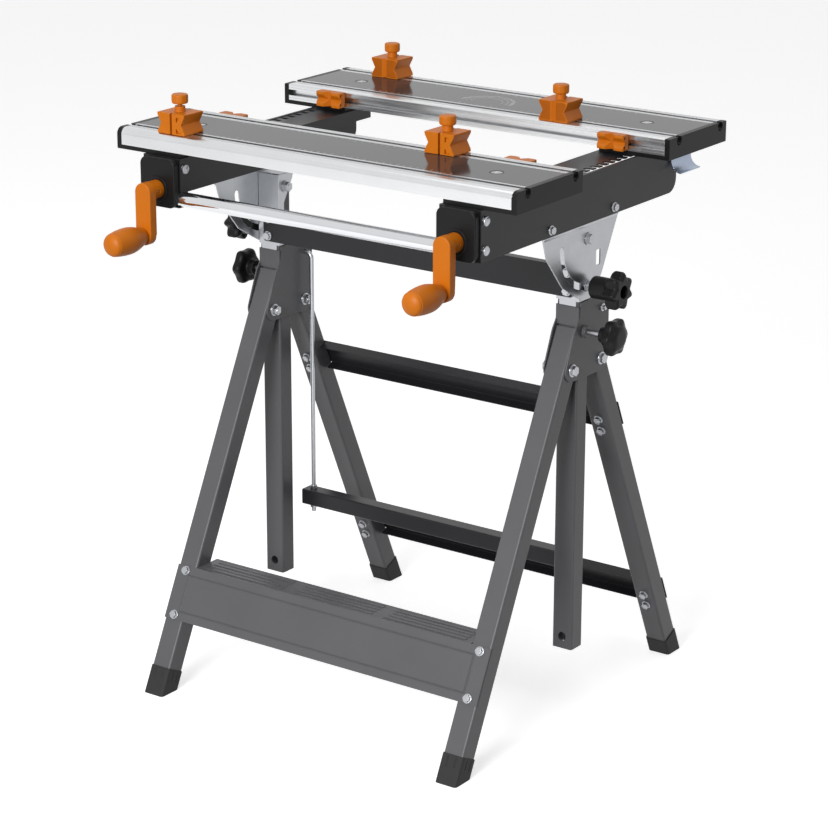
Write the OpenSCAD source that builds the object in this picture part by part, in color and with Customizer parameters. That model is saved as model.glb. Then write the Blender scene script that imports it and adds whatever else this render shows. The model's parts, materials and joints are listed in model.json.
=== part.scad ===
// Folding workbench with two clamping jaws, tilting top and folding trestle legs
// Millimetres, +Z up, X along the jaws, the crank side faces -Y

/* [Stance] */
// Height of the jaw tops above the tilt pivot
top_rise = 112.5; // [110:0.5:150]
// Height of the leg pivots above the floor
pivot_h = 482; // [470:1:495]
// Distance from the posts back to the rear leg pivots
rear_pivot_back = 40.7; // [36:0.1:46]
// Distance from the posts forward to the middle of a front foot
front_foot_reach = 263.6; // [230:0.1:290]
// Distance from the posts back to the middle of a rear foot
rear_foot_reach = 257.6; // [230:0.1:290]
// Distance from the middle of the bench out to the legs and posts
tube_x = 239; // [225:0.5:250]

/* [Tubes] */
// Width of a leg or post tube, across the bench
tube_w = 30; // [28:0.5:32]
// Depth of a leg tube
leg_d = 28; // [24:0.5:30]
// Depth of a post tube
post_d = 26; // [22:0.5:28]
// Wall of the tubes
tube_wall = 1.5; // [1:0.1:2.5]
// Corner radius of the tubes
tube_r = 3; // [2:0.5:5]
// Height of the posts' lower ends as a share of the leg pivots' height
post_foot_share = 0.195; // [0.12:0.005:0.27]
// Diameter of the hole near the foot of a post
post_hole_d = 12; // [8:0.5:16]
// Height of that hole above the end of the post
post_hole_in = 16.6; // [12:0.2:24]

/* [Feet] */
// Height of a rubber foot along its leg
foot_h = 24; // [18:1:34]
// Wall of a rubber foot
foot_wall = 1.3; // [1:0.1:2.5]
// Rubber under the end of the leg
foot_sole = 6; // [4:0.5:8]

/* [Head brackets] */
// Sheet thickness of the head brackets
bracket_t = 2; // [1.5:0.1:2.4]
// Radius of the bracket round a front leg pivot
front_lobe_r = 15; // [13:0.5:17]
// Radius of the bracket round a rear leg pivot
rear_lobe_r = 17; // [16:0.5:19]
// Height of the head brackets' tops above the leg pivots
bracket_top_rise = 85; // [78:1:98]
// Height of the height knobs below the head brackets' tops
height_knob_drop = 40; // [27:1:52]
// Diameter of the pivot bolts
pivot_d = 8; // [6:0.5:10]

/* [Front step] */
// Height of the step panel, along the legs
step_h = 74; // [60:1:110]
// Distance down the leg to the step as a share of the leg's length
step_share = 0.6802; // [0.62:0.0001:0.71]
// Depth of the tread
tread_d = 44; // [36:1:50]
// Sheet thickness of the step
step_t = 1.5; // [1:0.1:2.5]

/* [Rear crossbars] */
// Height of a crossbar web
crossbar_h = 37.5; // [32:0.5:60]
// Depth of the crossbar flanges
crossbar_flange = 15; // [10:0.5:16]
// Distance down the leg to the upper crossbar as a share of the leg's length
upper_bar_share = 0.1986; // [0.17:0.0001:0.26]
// Distance down the leg to the lower crossbar as a share of the leg's length
lower_bar_share = 0.7946; // [0.72:0.0001:0.83]

/* [Hanging bar] */
// Side of the square hanging bar
hang_bar_s = 22; // [16:1:26]
// Height of the hanging bar as a share of the leg pivots' height
hang_bar_share = 0.4087; // [0.35:0.0001:0.48]
// Diameter of the hanging rods
rod_d = 6; // [4:0.5:8]
// Height at which the rods hang below the head brackets' tops
rod_pivot_drop = 17; // [11:1:22]
// Distance from the posts back to the rods
rod_back = 40; // [38:0.5:44]

/* [Post top and tilt] */
// Height of the tilt pivot above the head brackets' tops
tilt_pivot_rise = 81.5; // [73:0.5:88]
// Radius of the arc slot about the tilt pivot
tilt_slot_r = 61; // [56:0.5:64]
// Angle that the arc slot lets the top tilt
tilt_slot_angle = 87; // [60:1:90]
// Sheet thickness of the tilt plates and post brackets
tilt_t = 2; // [1.5:0.1:2.4]
// Height of the crossbar between the posts
post_bar_h = 40; // [30:1:46]
// Height of the crossbar between the posts above the head brackets' tops
post_bar_rise = 6; // [4:0.5:13]

/* [Rails] */
// Gap between a tilt plate and the rail round it
rail_gap = 0.4; // [0.2:0.1:2]
// Width of a rail
rail_w = 60.4; // [56:0.2:64]
// Height of a rail
rail_h = 64; // [58:1:68]
// Height of a rail's inner side
inner_side_h = 44.5; // [36:0.5:52]
// Height of a rail's inner side beside the rack
inner_rack_h = 16; // [12:0.5:20]
// Sheet thickness of a rail
rail_t = 1.6; // [1.2:0.1:2]
// Distance from the posts forward to the front end of the rails
rail_front = 243; // [236:1:246]
// Distance from the posts back to the rear end of the rails
rail_rear = 211; // [205:1:225]
// Pitch of the rack notches in the rail tops
rack_pitch = 15; // [14:0.5:16]

/* [Jaws] */
// Length of a jaw between its end caps
jaw_l = 600; // [560:1:640]
// Width of a jaw, front to back
jaw_w = 145; // [135:1:155]
// Thickness of a jaw
jaw_t = 22; // [20:0.5:26]
// Opening between the jaws
jaw_gap = 205; // [190:1:220]
// Travel of the front jaw on its lead screws
jaw_travel = 100; // [60:5:110]
// Distance from the posts forward to the front edge of the front jaw
jaw_front = 239.5; // [236:0.5:242]
// Thickness of an end cap
cap_t = 7.5; // [5:0.5:10]
// Depth of an end cap below the jaw
shoe_t = 5.6; // [4.5:0.1:7]
// Distance from the front edge of a jaw to its front top slot
front_slot_in = 24; // [20:0.5:25]
// Distance from the rear edge of a jaw to its rear top slot
rear_slot_in = 16; // [15.5:0.5:18]
// Distance from the front edge of a jaw to its inlaid panel
panel_in = 32; // [31:0.5:36]
// Distance from the rear edge of a jaw to its panel
panel_rear = 27; // [25:0.5:33]
// Opening of the T-slots
slot_w = 8; // [7:0.5:9]

/* [Cranks] */
// Distance from the outer face of a rail in to the crank's axis
crank_in = 29.9; // [28:0.1:32]
// Height of the cranks' axes below the jaw tops
crank_drop = 68; // [61:0.5:69]
// Distance between the crank axis and the grip axis
crank_throw = 56; // [45:1:70]
// Length of a grip
grip_l = 65; // [55:1:75]
// Largest radius of a grip
grip_r = 17.5; // [14:0.5:20]
// Diameter of the lead screws
screw_d = 10; // [8:0.5:12]
// Width of a screw housing
housing_w = 56.6; // [54:0.2:57]
// Diameter of the handle bar between the housings
handle_d = 19; // [16:0.5:20]

/* [Knobs] */
// Radius of the lobed knob heads
knob_r = 25; // [20:0.5:27]
// Diameter of the knob studs
stud_d = 8; // [6:0.5:8.4]

/* [Dogs] */
// Width of a top dog
dog_w = 44; // [40:1:50]
// Depth of a top dog
dog_d = 38; // [34:1:42]
// Height of a top dog
dog_h = 27; // [24:1:32]
// Radius of a dog knob
dog_knob_r = 10.7; // [9:0.1:12]
// Width of a side dog
side_dog_w = 40; // [36:1:46]
// Depth of a side dog
side_dog_d = 15.5; // [14:0.5:19.5]
// Height of a side dog
side_dog_h = 20.5; // [18:0.5:21]

/* [Hidden] */

$fn = 48;

// Clearances and overruns
run_fit = 0.05;
bolt_gap = 0.1;
seat_gap = 0.1;
slide_gap = 0.2;
side_gap = 0.3;
bar_gap = 0.5;
cut = 1;

// Colours of the pieces
graphite = "#6a6a6d";
anthracite = "#3e3e42";
zinc = "#9a9ca0";
chrome = "#c8cacd";
aluminium = "#c9cacc";
orange = "#c06a1e";
black = "#2a2a2c";
panel_grey = "#767678";

// Faces of the posts, and the leg pivots, from the post axis
post_front = -post_d / 2;
post_back = post_d / 2;
mitre_gap = 0.8;
front_pivot_y = post_front - mitre_gap - leg_d / 2;
rear_pivot_y = rear_pivot_back;
bracket_top_h = pivot_h + bracket_top_rise;
height_knob_h = bracket_top_h - height_knob_drop;
rod_pivot_h = bracket_top_h - rod_pivot_drop;
post_bar_low = bracket_top_h + post_bar_rise;
tilt_pivot_h = bracket_top_h + tilt_pivot_rise;
top_h = tilt_pivot_h + top_rise;
post_foot_h = pivot_h * post_foot_share;
hang_bar_h = pivot_h * hang_bar_share;
front_lean = atan2(front_foot_reach + front_pivot_y, pivot_h);
rear_lean = atan2(rear_foot_reach - rear_pivot_y, pivot_h);
step_drop = pivot_h / cos(front_lean) * step_share;
upper_bar_drop = pivot_h / cos(rear_lean) * upper_bar_share;
lower_bar_drop = pivot_h / cos(rear_lean) * lower_bar_share;
tube_in = tube_x - tube_w / 2;
tube_out = tube_x + tube_w / 2;

// Legs, from the pivot to the tube ends
front_lift = foot_sole + leg_d / 2 * tan(front_lean);
rear_lift = foot_sole + leg_d / 2 * tan(rear_lean);
front_leg_len = (pivot_h - front_lift) / cos(front_lean);
rear_leg_len = (pivot_h - rear_lift) / cos(rear_lean);
front_leg_top = 51.5;
rear_leg_top = 55;

// Feet wrap the leg ends
foot_fit = 0.15;
foot_w = tube_w + 2 * (foot_fit + foot_wall);
foot_d = leg_d + 2 * (foot_fit + foot_wall);
foot_grip = foot_h - foot_sole;

// Bolts and nuts
pivot_r = pivot_d / 2;
bolt_d = 6;
bolt_r = bolt_d / 2;
hex_share = 0.86;
head_share = 0.6;
nut_share = 0.75;
washer_share = 1.05;
tail_share = 1;
washer_t = 1.2;

// Head brackets
plate_in = tube_w / 2 + slide_gap;
plate_out = plate_in + bracket_t;
bracket_corner_r = 10;
bracket_back = rear_pivot_y + rear_lobe_r;
shoulder_y = [11.5, 0, -2.5];
shoulder_drop = [37, 20, 0];
front_web_in = [31, 5.2];
front_web_low = bracket_top_h - front_web_in[0];
front_web_top = bracket_top_h - front_web_in[1];
rear_web_in = 27;
rear_web_low = bracket_top_h - rear_web_in;
boss_h = 5;

// Front step
step_bolt_in = 6.5;
step_return = 9;
bead_w = 3;
bead_d = 0.7;
bead_in_x = 22;
bead_in_z = 12;
rib_w = 4;
rib_h = 0.8;
rib_pitch = 8.6;
rib_groups = 3;
ribs = 4;
rib_group_gap = 20;
rib_end = 12;

// Rear crossbars
crossbar_t = 1.5;
crossbar_bolt_pitch = 19;

// Hanging bar and its rods
rod_r = rod_d / 2;
rod_in = 12.5;
rod_x = tube_x - plate_out - rod_in;
rod_bend_r = 9;
rod_head_t = 2;
rod_out = 4;
bar_end_gap = 2;
hang_bar_half = tube_in - bar_end_gap;
hang_wall = 1.5;
hang_corner_r = 2;
plug_l = 14;
hang_nut_h = 5;

// Brackets on the post tops
post_over = 11;
post_top = tilt_pivot_h + post_over;
bracket_rise = 18;
flange_gap = 1.5;
flange_low = bracket_top_h + flange_gap;
flange_w = 10;
flange_step_h = 22;
flange_over = 3;
tongue_w = 25;
tongue_low = front_web_top + slide_gap;
bracket_in = tube_w / 2 + seat_gap;
bracket_out = bracket_in + tilt_t;
web_front = post_front - seat_gap - tilt_t;

// Crossbar between the posts
post_bar_t = 2;
post_bar_back = web_front - seat_gap;
post_bar_front = post_bar_back - post_bar_t;
post_bar_flange = 13;
post_bar_over = 8;
post_bar_half = tube_x + post_bar_over;
post_bar_bolt_in = 8;
post_bar_inner_half = tube_x - bracket_out - bar_end_gap;
stud_h = tilt_pivot_h - tilt_slot_r;

// Tilt plates, between the post brackets and the rails
plate_gap = 0.3;
tilt_x = tube_x + bracket_out + plate_gap;
tilt_face = tilt_x + tilt_t;
rail_x = tilt_face + rail_gap + rail_t;
crank_x = rail_x - crank_in;
crank_h = top_h - crank_drop;
tilt_front = 112;
tilt_rear = 71;
tilt_rise = 46;
tilt_skirt = 16;
tilt_edge_shares = [[-1, 0.53], [-0.85, -0.11], [-0.52, -0.67], [-0.25, -0.9]];
tilt_back_shares = [[0.28, -0.9], [0.48, -0.67], [1, 0.25]];
tilt_foot_w = 14;
window_w = 10;
window_h = 20;
window_y = 25;
window_z = -29;
window_r = 1.5;
stud_play = 0.8;
tilt_slot_w = stud_d + stud_play;
rail_bolt_rise = 29.5;
rail_bolt_z = tilt_pivot_h + rail_bolt_rise;
rail_bolt_front = -90;
rail_bolt_rear = 57;

// Rails
jaw_low = top_h - jaw_t;
rail_top = jaw_low - shoe_t - slide_gap;
rail_low = rail_top - rail_h;
rail_in = rail_x - rail_w;
rail_end_r = 18;
rack_tooth = 8;
rack_strip = 5;
rack_reach = 11;
rack_wall = 2.2;
rack_front = -3;
rack_count = 13;
inner_step_y = 34;
inner_end_in = 46;
nut_slot_w = 16;

// Jaws
slot_mouth = 2.5;
slot_chamber_w = 12;
slot_chamber_h = 6;
panel_t = 1.6;
panel_fit = 0.1;
panel_w = jaw_w - panel_in - panel_rear;
jaw_wall = 2;
nose_r = 9;
edge_r = 1.5;
face_slot_h = 10.5;
hollows = 3;
hollow_in = 4;
plug_in = 74;
plug_end = 70;
plug_x = jaw_l / 2 - plug_end;
plug_r = 9;
plug_rim = 0.4;
jaw_y = -jaw_front;
rear_jaw_y = jaw_y + jaw_w + jaw_gap;
shoe_w = 57.4;
shoe_in = rail_x - shoe_w;
cap_out = jaw_l / 2 + cap_t;

// Release levers
lever_in = 81.5;
lever_l = 50;
lever_t = 1.5;
lever_gap = 0.4;
lever_drop = 22;
lever_curl = 16;
lever_pin_r = 1.6;
lever_pin_in = 6;
lever_pin_end = 5;
lever_y = rear_jaw_y + lever_in;

// Cranks, lead screws and their housings
screw_r = screw_d / 2;
hub_r = 12;
hub_l = 17;
hub_gap = 0.3;
hub_web = 1;
roll_pin_r = 2;
arm_w = 25;
arm_t = 12;
housing_l = 17.5;
housing_nose = 10;
housing_r = 10;
housing_y = -rail_front - housing_nose;
housing_x = rail_x - rail_w / 2;
housing_screw_in = 8;
housing_screw_ends = 14;
pan_t = 3;
pan_r = 6;
pan_l = 12;
nut_in = 36;
nut_l = 20;
nut_under = 9;
screw_l = 180;
handle_in = 5;
handle_wall = 1.5;
handle_floor = 1.8;
handle_y = -rail_front + handle_in;
handle_z = rail_low + handle_d / 2 + handle_floor;
handle_half = crank_x - screw_r - handle_in;
hub_back = housing_y - hub_gap;
arm_back = hub_back - hub_l;
arm_front = arm_back - arm_t;
grip_gap = 0.6;
grip_back = arm_front - grip_gap;
grip_front = grip_back - grip_l;
grip_pin_r = 3.5;
grip_pin_share = 0.8;
grip_bore_share = 0.85;

// Knobs
stud_r = stud_d / 2;
height_necks = [17, 25];
height_hub_r = 10;
height_hub_l = 11;
height_head_t = 14;
height_crown_t = 4.5;
crown_shares = [0.72, 0.4];
height_lobes = 6;
knob_nut_h = 4.5;
tilt_neck = 7;
tilt_hub_r = 14.5;
tilt_hub_l = 27;
tilt_head_t = 20;
tilt_lobes = 7;
knob_eye_r = 7;
knob_eye_d = 12;
lobe_dip = 5;
lobe_share = 0.12;
stud_seat = 3;

// Dogs
dog_stud_r = 3;
dog_vee = 3.5;
dog_side_vee = 5.5;
dog_split = 3;
dog_split_d = 6;
dog_groove_share = 0.38;
dog_foot_share = 0.66;
groove_share = 0.3;
tongue_in = 2;
foot_play = 1;
dog_neck_r = 6.8;
dog_neck_h = 7;
dog_head_h = 12;
dog_head_edge = 1.5;
side_dog_lift = 1;
side_dog_vee = 7;
side_dog_vee_d = 7.5;
side_dog_bevel = 2;
side_dog_groove = 6;

// Middle of the whole bench, front to back, put over the origin
front_reach = -grip_front;
rear_reach = rear_foot_reach + foot_d / 2 / cos(rear_lean);
frame_y = (front_reach - rear_reach) / 2;

module in_frame() {
    translate([0, frame_y, 0]) children();
}

module on_side(side) {
    mirror([side < 0 ? 1 : 0, 0, 0]) children();
}

module both_sides() {
    for (side = [-1, 1]) on_side(side) children();
}

// A profile drawn in Y and Z, extruded along +X from x0
module side_sheet(x0, t) {
    translate([x0, 0, 0]) rotate([90, 0, 90]) linear_extrude(t) children();
}

module round_box(w, d, r) {
    square([w - 2 * r, d], center = true);
    square([w, d - 2 * r], center = true);
    for (sx = [-1, 1], sy = [-1, 1]) translate([sx * (w / 2 - r), sy * (d / 2 - r)]) circle(r);
}

module box_tube(w, d, len) {
    linear_extrude(len) difference() {
        round_box(w, d, tube_r);
        round_box(w - 2 * tube_wall, d - 2 * tube_wall, tube_r - tube_wall);
    }
}

module x_pin(x0, x1, r) {
    translate([x0, 0, 0]) rotate([0, 90, 0]) cylinder(r = r, h = x1 - x0);
}

module y_pin(y0, y1, r) {
    translate([0, y0, 0]) rotate([-90, 0, 0]) cylinder(r = r, h = y1 - y0);
}

// Hexagon head or nut on its washer, along +Z, for a bolt of radius r
module hex_head(r, h_share) {
    cylinder(r = 2 * r * washer_share, h = washer_t);
    translate([0, 0, washer_t]) cylinder(r = 2 * r * hex_share, h = 2 * r * h_share, $fn = 6);
}

// Bolt along X, its head seated at x0 and its nut at x1
module x_bolt(x0, x1, r) {
    turn = x0 > x1 ? 90 : -90;
    tail = 2 * r * tail_share;
    x_pin(min(x0, x1 - (x0 < x1 ? 0 : tail)), max(x0, x1 + (x0 < x1 ? tail : 0)), r);
    translate([x0, 0, 0]) rotate([0, turn, 0]) hex_head(r, head_share);
    translate([x1, 0, 0]) rotate([0, -turn, 0]) hex_head(r, nut_share);
}

// Bolt along Y, its head seated at y0 and its nut behind at y1
module y_bolt(y0, y1, r) {
    y_pin(y0, y1 + 2 * r * tail_share, r);
    translate([0, y0, 0]) rotate([90, 0, 0]) hex_head(r, head_share);
    translate([0, y1, 0]) rotate([-90, 0, 0]) hex_head(r, nut_share);
}

module front_leg_frame() {
    translate([0, front_pivot_y, pivot_h]) rotate([-front_lean, 0, 0]) children();
}

module rear_leg_frame() {
    translate([0, rear_pivot_y, pivot_h]) rotate([rear_lean, 0, 0]) children();
}

// Leg tube whose top is cut upright beside the post; post_gap runs from its pivot to that cut
module leg_tube(len, top_len, lean, face, post_gap) {
    difference() {
        translate([tube_x, 0, -len]) box_tube(tube_w, leg_d, len + top_len);
        x_pin(tube_x - tube_w, tube_x + tube_w, pivot_r + run_fit);
        rotate([lean, 0, 0])
            translate([tube_x - tube_w, face > 0 ? post_gap : -post_gap - 2 * tube_w, -tube_w])
                cube([2 * tube_w, 2 * tube_w, tube_w + 3 * top_len]);
    }
}

// Drops below the leg pivots at which the step bolts pass
function step_bolts() = [step_drop + step_bolt_in, step_drop + step_h - step_bolt_in];

module front_leg(side) {
    color(graphite) in_frame() on_side(side) front_leg_frame() difference() {
        leg_tube(front_leg_len, front_leg_top, front_lean, 1, leg_d / 2 + mitre_gap - slide_gap);
        for (drop = step_bolts()) translate([tube_x, 0, -drop]) y_pin(-leg_d, leg_d, bolt_r + bolt_gap);
    }
}

module front_leg_left() { front_leg(-1); }
module front_leg_right() { front_leg(1); }

// Drops below the leg pivots at which the crossbar bolts pass
function crossbar_bolts() = [for (drop = [upper_bar_drop, lower_bar_drop], k = [-1, 1])
    drop + k * crossbar_bolt_pitch / 2];

module rear_leg(side) {
    color(graphite) in_frame() on_side(side) rear_leg_frame() difference() {
        leg_tube(rear_leg_len, rear_leg_top, -rear_lean, -1, rear_pivot_y - post_back - slide_gap);
        for (drop = crossbar_bolts()) translate([tube_x, 0, -drop]) y_pin(-leg_d, leg_d, bolt_r + bolt_gap);
    }
}

module rear_leg_left() { rear_leg(-1); }
module rear_leg_right() { rear_leg(1); }

// Rubber foot on a leaning leg, cut flat where it meets the floor
module foot(len, upright) {
    difference() {
        translate([tube_x, 0, -len - foot_sole - leg_d]) linear_extrude(foot_grip + foot_sole + leg_d)
            round_box(foot_w, foot_d, tube_r + foot_wall);
        translate([tube_x, 0, -len]) linear_extrude(foot_grip + cut)
            round_box(tube_w + 2 * foot_fit, leg_d + 2 * foot_fit, tube_r + foot_fit);
        rotate([upright, 0, 0]) translate([0, -front_foot_reach, -pivot_h - 3 * leg_d])
            cube([2 * tube_x, 2 * front_foot_reach, 3 * leg_d]);
    }
}

module front_feet() {
    color(black) in_frame() both_sides() front_leg_frame() foot(front_leg_len, front_lean);
}

module rear_feet() {
    color(black) in_frame() both_sides() rear_leg_frame() foot(rear_leg_len, -rear_lean);
}

// Side outline of a head bracket, in Y and Z
module bracket_outline() {
    translate([front_pivot_y, pivot_h]) circle(front_lobe_r);
    translate([rear_pivot_y, pivot_h]) circle(rear_lobe_r);
    translate([bracket_back - bracket_corner_r, bracket_top_h - bracket_corner_r]) circle(bracket_corner_r);
    shoulder = [for (k = [0:2]) [post_front - shoulder_y[k], bracket_top_h - shoulder_drop[k]]];
    polygon(concat([[front_pivot_y, pivot_h - front_lobe_r],
        [front_pivot_y - front_lobe_r * cos(front_lean), pivot_h + front_lobe_r * sin(front_lean)]], shoulder,
        [[bracket_back - bracket_corner_r, bracket_top_h], [bracket_back, bracket_top_h - bracket_corner_r],
        [bracket_back, pivot_h], [rear_pivot_y, pivot_h - rear_lobe_r]]));
}

// Folded bracket: two plates round a post, joined by a web in front and one behind
module head_bracket(side) {
    reach = 2 * plate_out;
    color(graphite) in_frame() on_side(side) difference() {
        union() {
            for (x0 = [tube_x - plate_out, tube_x + plate_in]) side_sheet(x0, bracket_t) bracket_outline();
            translate([tube_x - plate_out, post_front - slide_gap - bracket_t, front_web_low])
                cube([reach, bracket_t, front_web_top - front_web_low]);
            translate([tube_x - plate_out, bracket_back - bracket_t, rear_web_low])
                cube([reach, bracket_t, bracket_top_h - bracket_corner_r - rear_web_low]);
            translate([0, 0, height_knob_h]) x_pin(tube_x + plate_in, tube_x + plate_out + boss_h, stud_d);
        }
        for (y = [front_pivot_y, rear_pivot_y]) translate([0, y, pivot_h])
            x_pin(tube_x - reach, tube_x + reach, pivot_r + bolt_gap);
        translate([0, rod_back, rod_pivot_h]) x_pin(tube_x - reach, tube_x + reach, rod_r + run_fit);
        translate([0, 0, height_knob_h]) x_pin(tube_x, tube_x + reach, stud_r + run_fit);
    }
}

module head_bracket_left() { head_bracket(-1); }
module head_bracket_right() { head_bracket(1); }

module leg_pivot_bolts() {
    color(zinc) in_frame() for (y = [front_pivot_y, rear_pivot_y]) both_sides() translate([0, y, pivot_h])
        x_bolt(tube_x + plate_out + seat_gap, tube_x - plate_out - seat_gap, pivot_r);
}

// Step panel over the fronts of the legs, with its tread folded level between them
module front_step() {
    front = -leg_d / 2 - seat_gap - step_t;
    half = tube_out;
    tread_half = tube_in - bar_gap;
    color(graphite) in_frame() front_leg_frame() difference() {
        union() {
            translate([-half, front, -step_drop - step_h]) cube([2 * half, step_t, step_h]);
            translate([-tread_half, front, -step_drop - step_h]) cube([2 * tread_half, step_return, step_t]);
            translate([0, front, -step_drop]) rotate([front_lean, 0, 0]) {
                translate([-tread_half, 0, -step_t]) cube([2 * tread_half, tread_d, step_t]);
                translate([-tread_half, tread_d - step_t, -step_return])
                    cube([2 * tread_half, step_t, step_return]);
                tread_ribs(tread_half);
            }
        }
        bead_frame(half - bead_in_x, front);
        for (side = [-1, 1], drop = step_bolts())
            translate([side * tube_x, 0, -drop]) y_pin(-2 * leg_d, leg_d, bolt_r + bolt_gap);
    }
}

// Long raised ribs in groups along the tread
module tread_ribs(tread_half) {
    group_l = (2 * tread_half - 2 * rib_end - (rib_groups - 1) * rib_group_gap) / rib_groups;
    for (g = [0:rib_groups - 1], k = [0:ribs - 1])
        translate([-tread_half + rib_end + g * (group_l + rib_group_gap), rib_pitch * (k + 1), -step_t / 2])
            rib(group_l);
}

module rib(len) {
    h = rib_h + step_t / 2;
    translate([rib_w / 2, -rib_w / 2, 0]) cube([len - rib_w, rib_w, h]);
    for (x = [rib_w / 2, len - rib_w / 2]) translate([x, 0, 0]) cylinder(r = rib_w / 2, h = h);
}

// Shallow pressed line round the step panel
module bead_frame(half, y) {
    low = -step_drop - step_h + bead_in_z;
    high = -step_drop - bead_in_z;
    for (z = [low, high]) translate([-half, y - cut, z - bead_w / 2]) cube([2 * half, bead_d + cut, bead_w]);
    for (x = [-half, half]) translate([x - bead_w / 2, y - cut, low]) cube([bead_w, bead_d + cut, high - low]);
}

module front_step_bolts() {
    color(zinc) in_frame() front_leg_frame() for (side = [-1, 1], drop = step_bolts())
        translate([side * tube_x, 0, -drop])
            y_bolt(-leg_d / 2 - step_t - 2 * seat_gap, leg_d / 2 + seat_gap, bolt_r);
}

// Channel on the backs of the rear legs, its flanges pointing forward between them
module crossbar(drop) {
    half = tube_out;
    inner = tube_in - bar_gap;
    back = leg_d / 2 + seat_gap;
    color(anthracite) in_frame() rear_leg_frame() difference() {
        translate([0, 0, -drop]) {
            translate([-half, back, -crossbar_h / 2]) cube([2 * half, crossbar_t, crossbar_h]);
            for (z = [-crossbar_h / 2, crossbar_h / 2 - crossbar_t])
                translate([-inner, back + crossbar_t - crossbar_flange, z])
                    cube([2 * inner, crossbar_flange, crossbar_t]);
        }
        for (side = [-1, 1], z = crossbar_bolts())
            translate([side * tube_x, 0, -z]) y_pin(0, 2 * leg_d, bolt_r + bolt_gap);
    }
}

module rear_crossbar_upper() { crossbar(upper_bar_drop); }
module rear_crossbar_lower() { crossbar(lower_bar_drop); }

module rear_crossbar_bolts() {
    color(zinc) in_frame() rear_leg_frame() for (side = [-1, 1], drop = crossbar_bolts())
        translate([side * tube_x, 0, -drop]) rotate([0, 0, 180])
            y_bolt(-leg_d / 2 - crossbar_t - 2 * seat_gap, leg_d / 2 + seat_gap, bolt_r);
}

// Heights of the bolts that hold the crossbar to the posts
function post_bar_bolts() = [post_bar_low + post_bar_bolt_in, post_bar_low + post_bar_h - post_bar_bolt_in];

module post(side) {
    color(graphite) in_frame() on_side(side) difference() {
        translate([tube_x, 0, post_foot_h]) box_tube(tube_w, post_d, post_top - post_foot_h);
        translate([tube_x, 0, post_foot_h + post_hole_in]) y_pin(-post_d, post_d, post_hole_d / 2);
        translate([0, 0, tilt_pivot_h]) x_pin(tube_x - tube_w, tube_x + tube_w, pivot_r + bolt_gap);
        translate([0, 0, stud_h]) x_pin(tube_x, tube_x + tube_w, stud_r + run_fit);
        for (z = post_bar_bolts()) translate([tube_x, 0, z]) y_pin(-post_d, post_d, bolt_r + bolt_gap);
    }
}

module post_left() { post(-1); }
module post_right() { post(1); }

// Plated channel that wraps the front of a post and carries the tilt pivot
module post_bracket(side) {
    top = tilt_pivot_h + bracket_rise;
    back = post_back + flange_over;
    waist = post_front + flange_w;
    color(zinc) in_frame() on_side(side) difference() {
        union() {
            side_sheet(tube_x + bracket_in, tilt_t)
                polygon([[web_front, flange_low], [post_back - cut, flange_low],
                    [back, tilt_pivot_h], [back, top], [web_front, top]]);
            side_sheet(tube_x - bracket_out, tilt_t)
                polygon([[web_front, flange_low], [waist, flange_low], [waist, tilt_pivot_h - flange_step_h],
                    [back, tilt_pivot_h + flange_w], [back, top], [web_front, top]]);
            translate([tube_x - bracket_out, web_front, flange_low])
                cube([2 * bracket_out, tilt_t, top - flange_low]);
            translate([tube_x - tongue_w / 2, web_front, tongue_low])
                cube([tongue_w, tilt_t, flange_low - tongue_low]);
        }
        translate([0, 0, tilt_pivot_h]) x_pin(tube_x - tube_w, tube_x + tube_w, pivot_r + bolt_gap);
        translate([0, 0, stud_h]) x_pin(tube_x, tube_x + tube_w, stud_r + run_fit);
        for (z = post_bar_bolts()) translate([tube_x, 0, z]) y_pin(-post_d, 0, bolt_r + bolt_gap);
    }
}

module post_bracket_left() { post_bracket(-1); }
module post_bracket_right() { post_bracket(1); }

// Channel across the fronts of both posts, with rounded ends
module post_crossbar() {
    r = post_bar_over / 2;
    color(graphite) in_frame() difference() {
        translate([0, 0, post_bar_low]) {
            translate([0, post_bar_back, post_bar_h / 2]) rotate([90, 0, 0]) linear_extrude(post_bar_t)
                round_box(2 * post_bar_half, post_bar_h, r);
            for (z = [0, post_bar_h - post_bar_t]) translate([-post_bar_inner_half, post_bar_front, z])
                cube([2 * post_bar_inner_half, post_bar_flange, post_bar_t]);
        }
        for (side = [-1, 1], z = post_bar_bolts())
            translate([side * tube_x, 0, z]) y_pin(-2 * post_d, 0, bolt_r + bolt_gap);
    }
}

// Crossbar bolts and the tilt pivot bolts
module post_bolts() {
    color(zinc) in_frame() both_sides() {
        for (z = post_bar_bolts()) translate([tube_x, 0, z])
            y_bolt(post_bar_front - seat_gap, post_back + seat_gap, bolt_r);
        translate([0, 0, tilt_pivot_h]) x_bolt(tilt_face + slide_gap, tube_x - bracket_out - seat_gap, pivot_r);
    }
}

// Rods hung in the head brackets, each bent over at its top, with a nut above and below the bar
module hanging_rods() {
    bend_h = rod_pivot_h - rod_bend_r;
    under = hang_bar_h - hang_bar_s / 2 - seat_gap - hang_nut_h;
    face = tube_x + plate_out + slide_gap;
    color(zinc) in_frame() both_sides() translate([0, rod_back, 0]) {
        translate([0, 0, rod_pivot_h]) x_pin(rod_x + rod_bend_r, face + rod_head_t + rod_out, rod_r);
        translate([0, 0, rod_pivot_h]) x_pin(face, face + rod_head_t, 2 * rod_r * hex_share);
        translate([rod_x + rod_bend_r, 0, bend_h]) rotate([90, 0, 0]) rotate([0, 0, 90])
            rotate_extrude(angle = 90) translate([rod_bend_r, 0]) circle(rod_r);
        translate([rod_x, 0, under - rod_d]) cylinder(r = rod_r, h = bend_h - under + rod_d);
        for (z = [hang_bar_h + hang_bar_s / 2 + seat_gap, under])
            translate([rod_x, 0, z]) cylinder(r = rod_d * hex_share, h = hang_nut_h, $fn = 6);
    }
}

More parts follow.
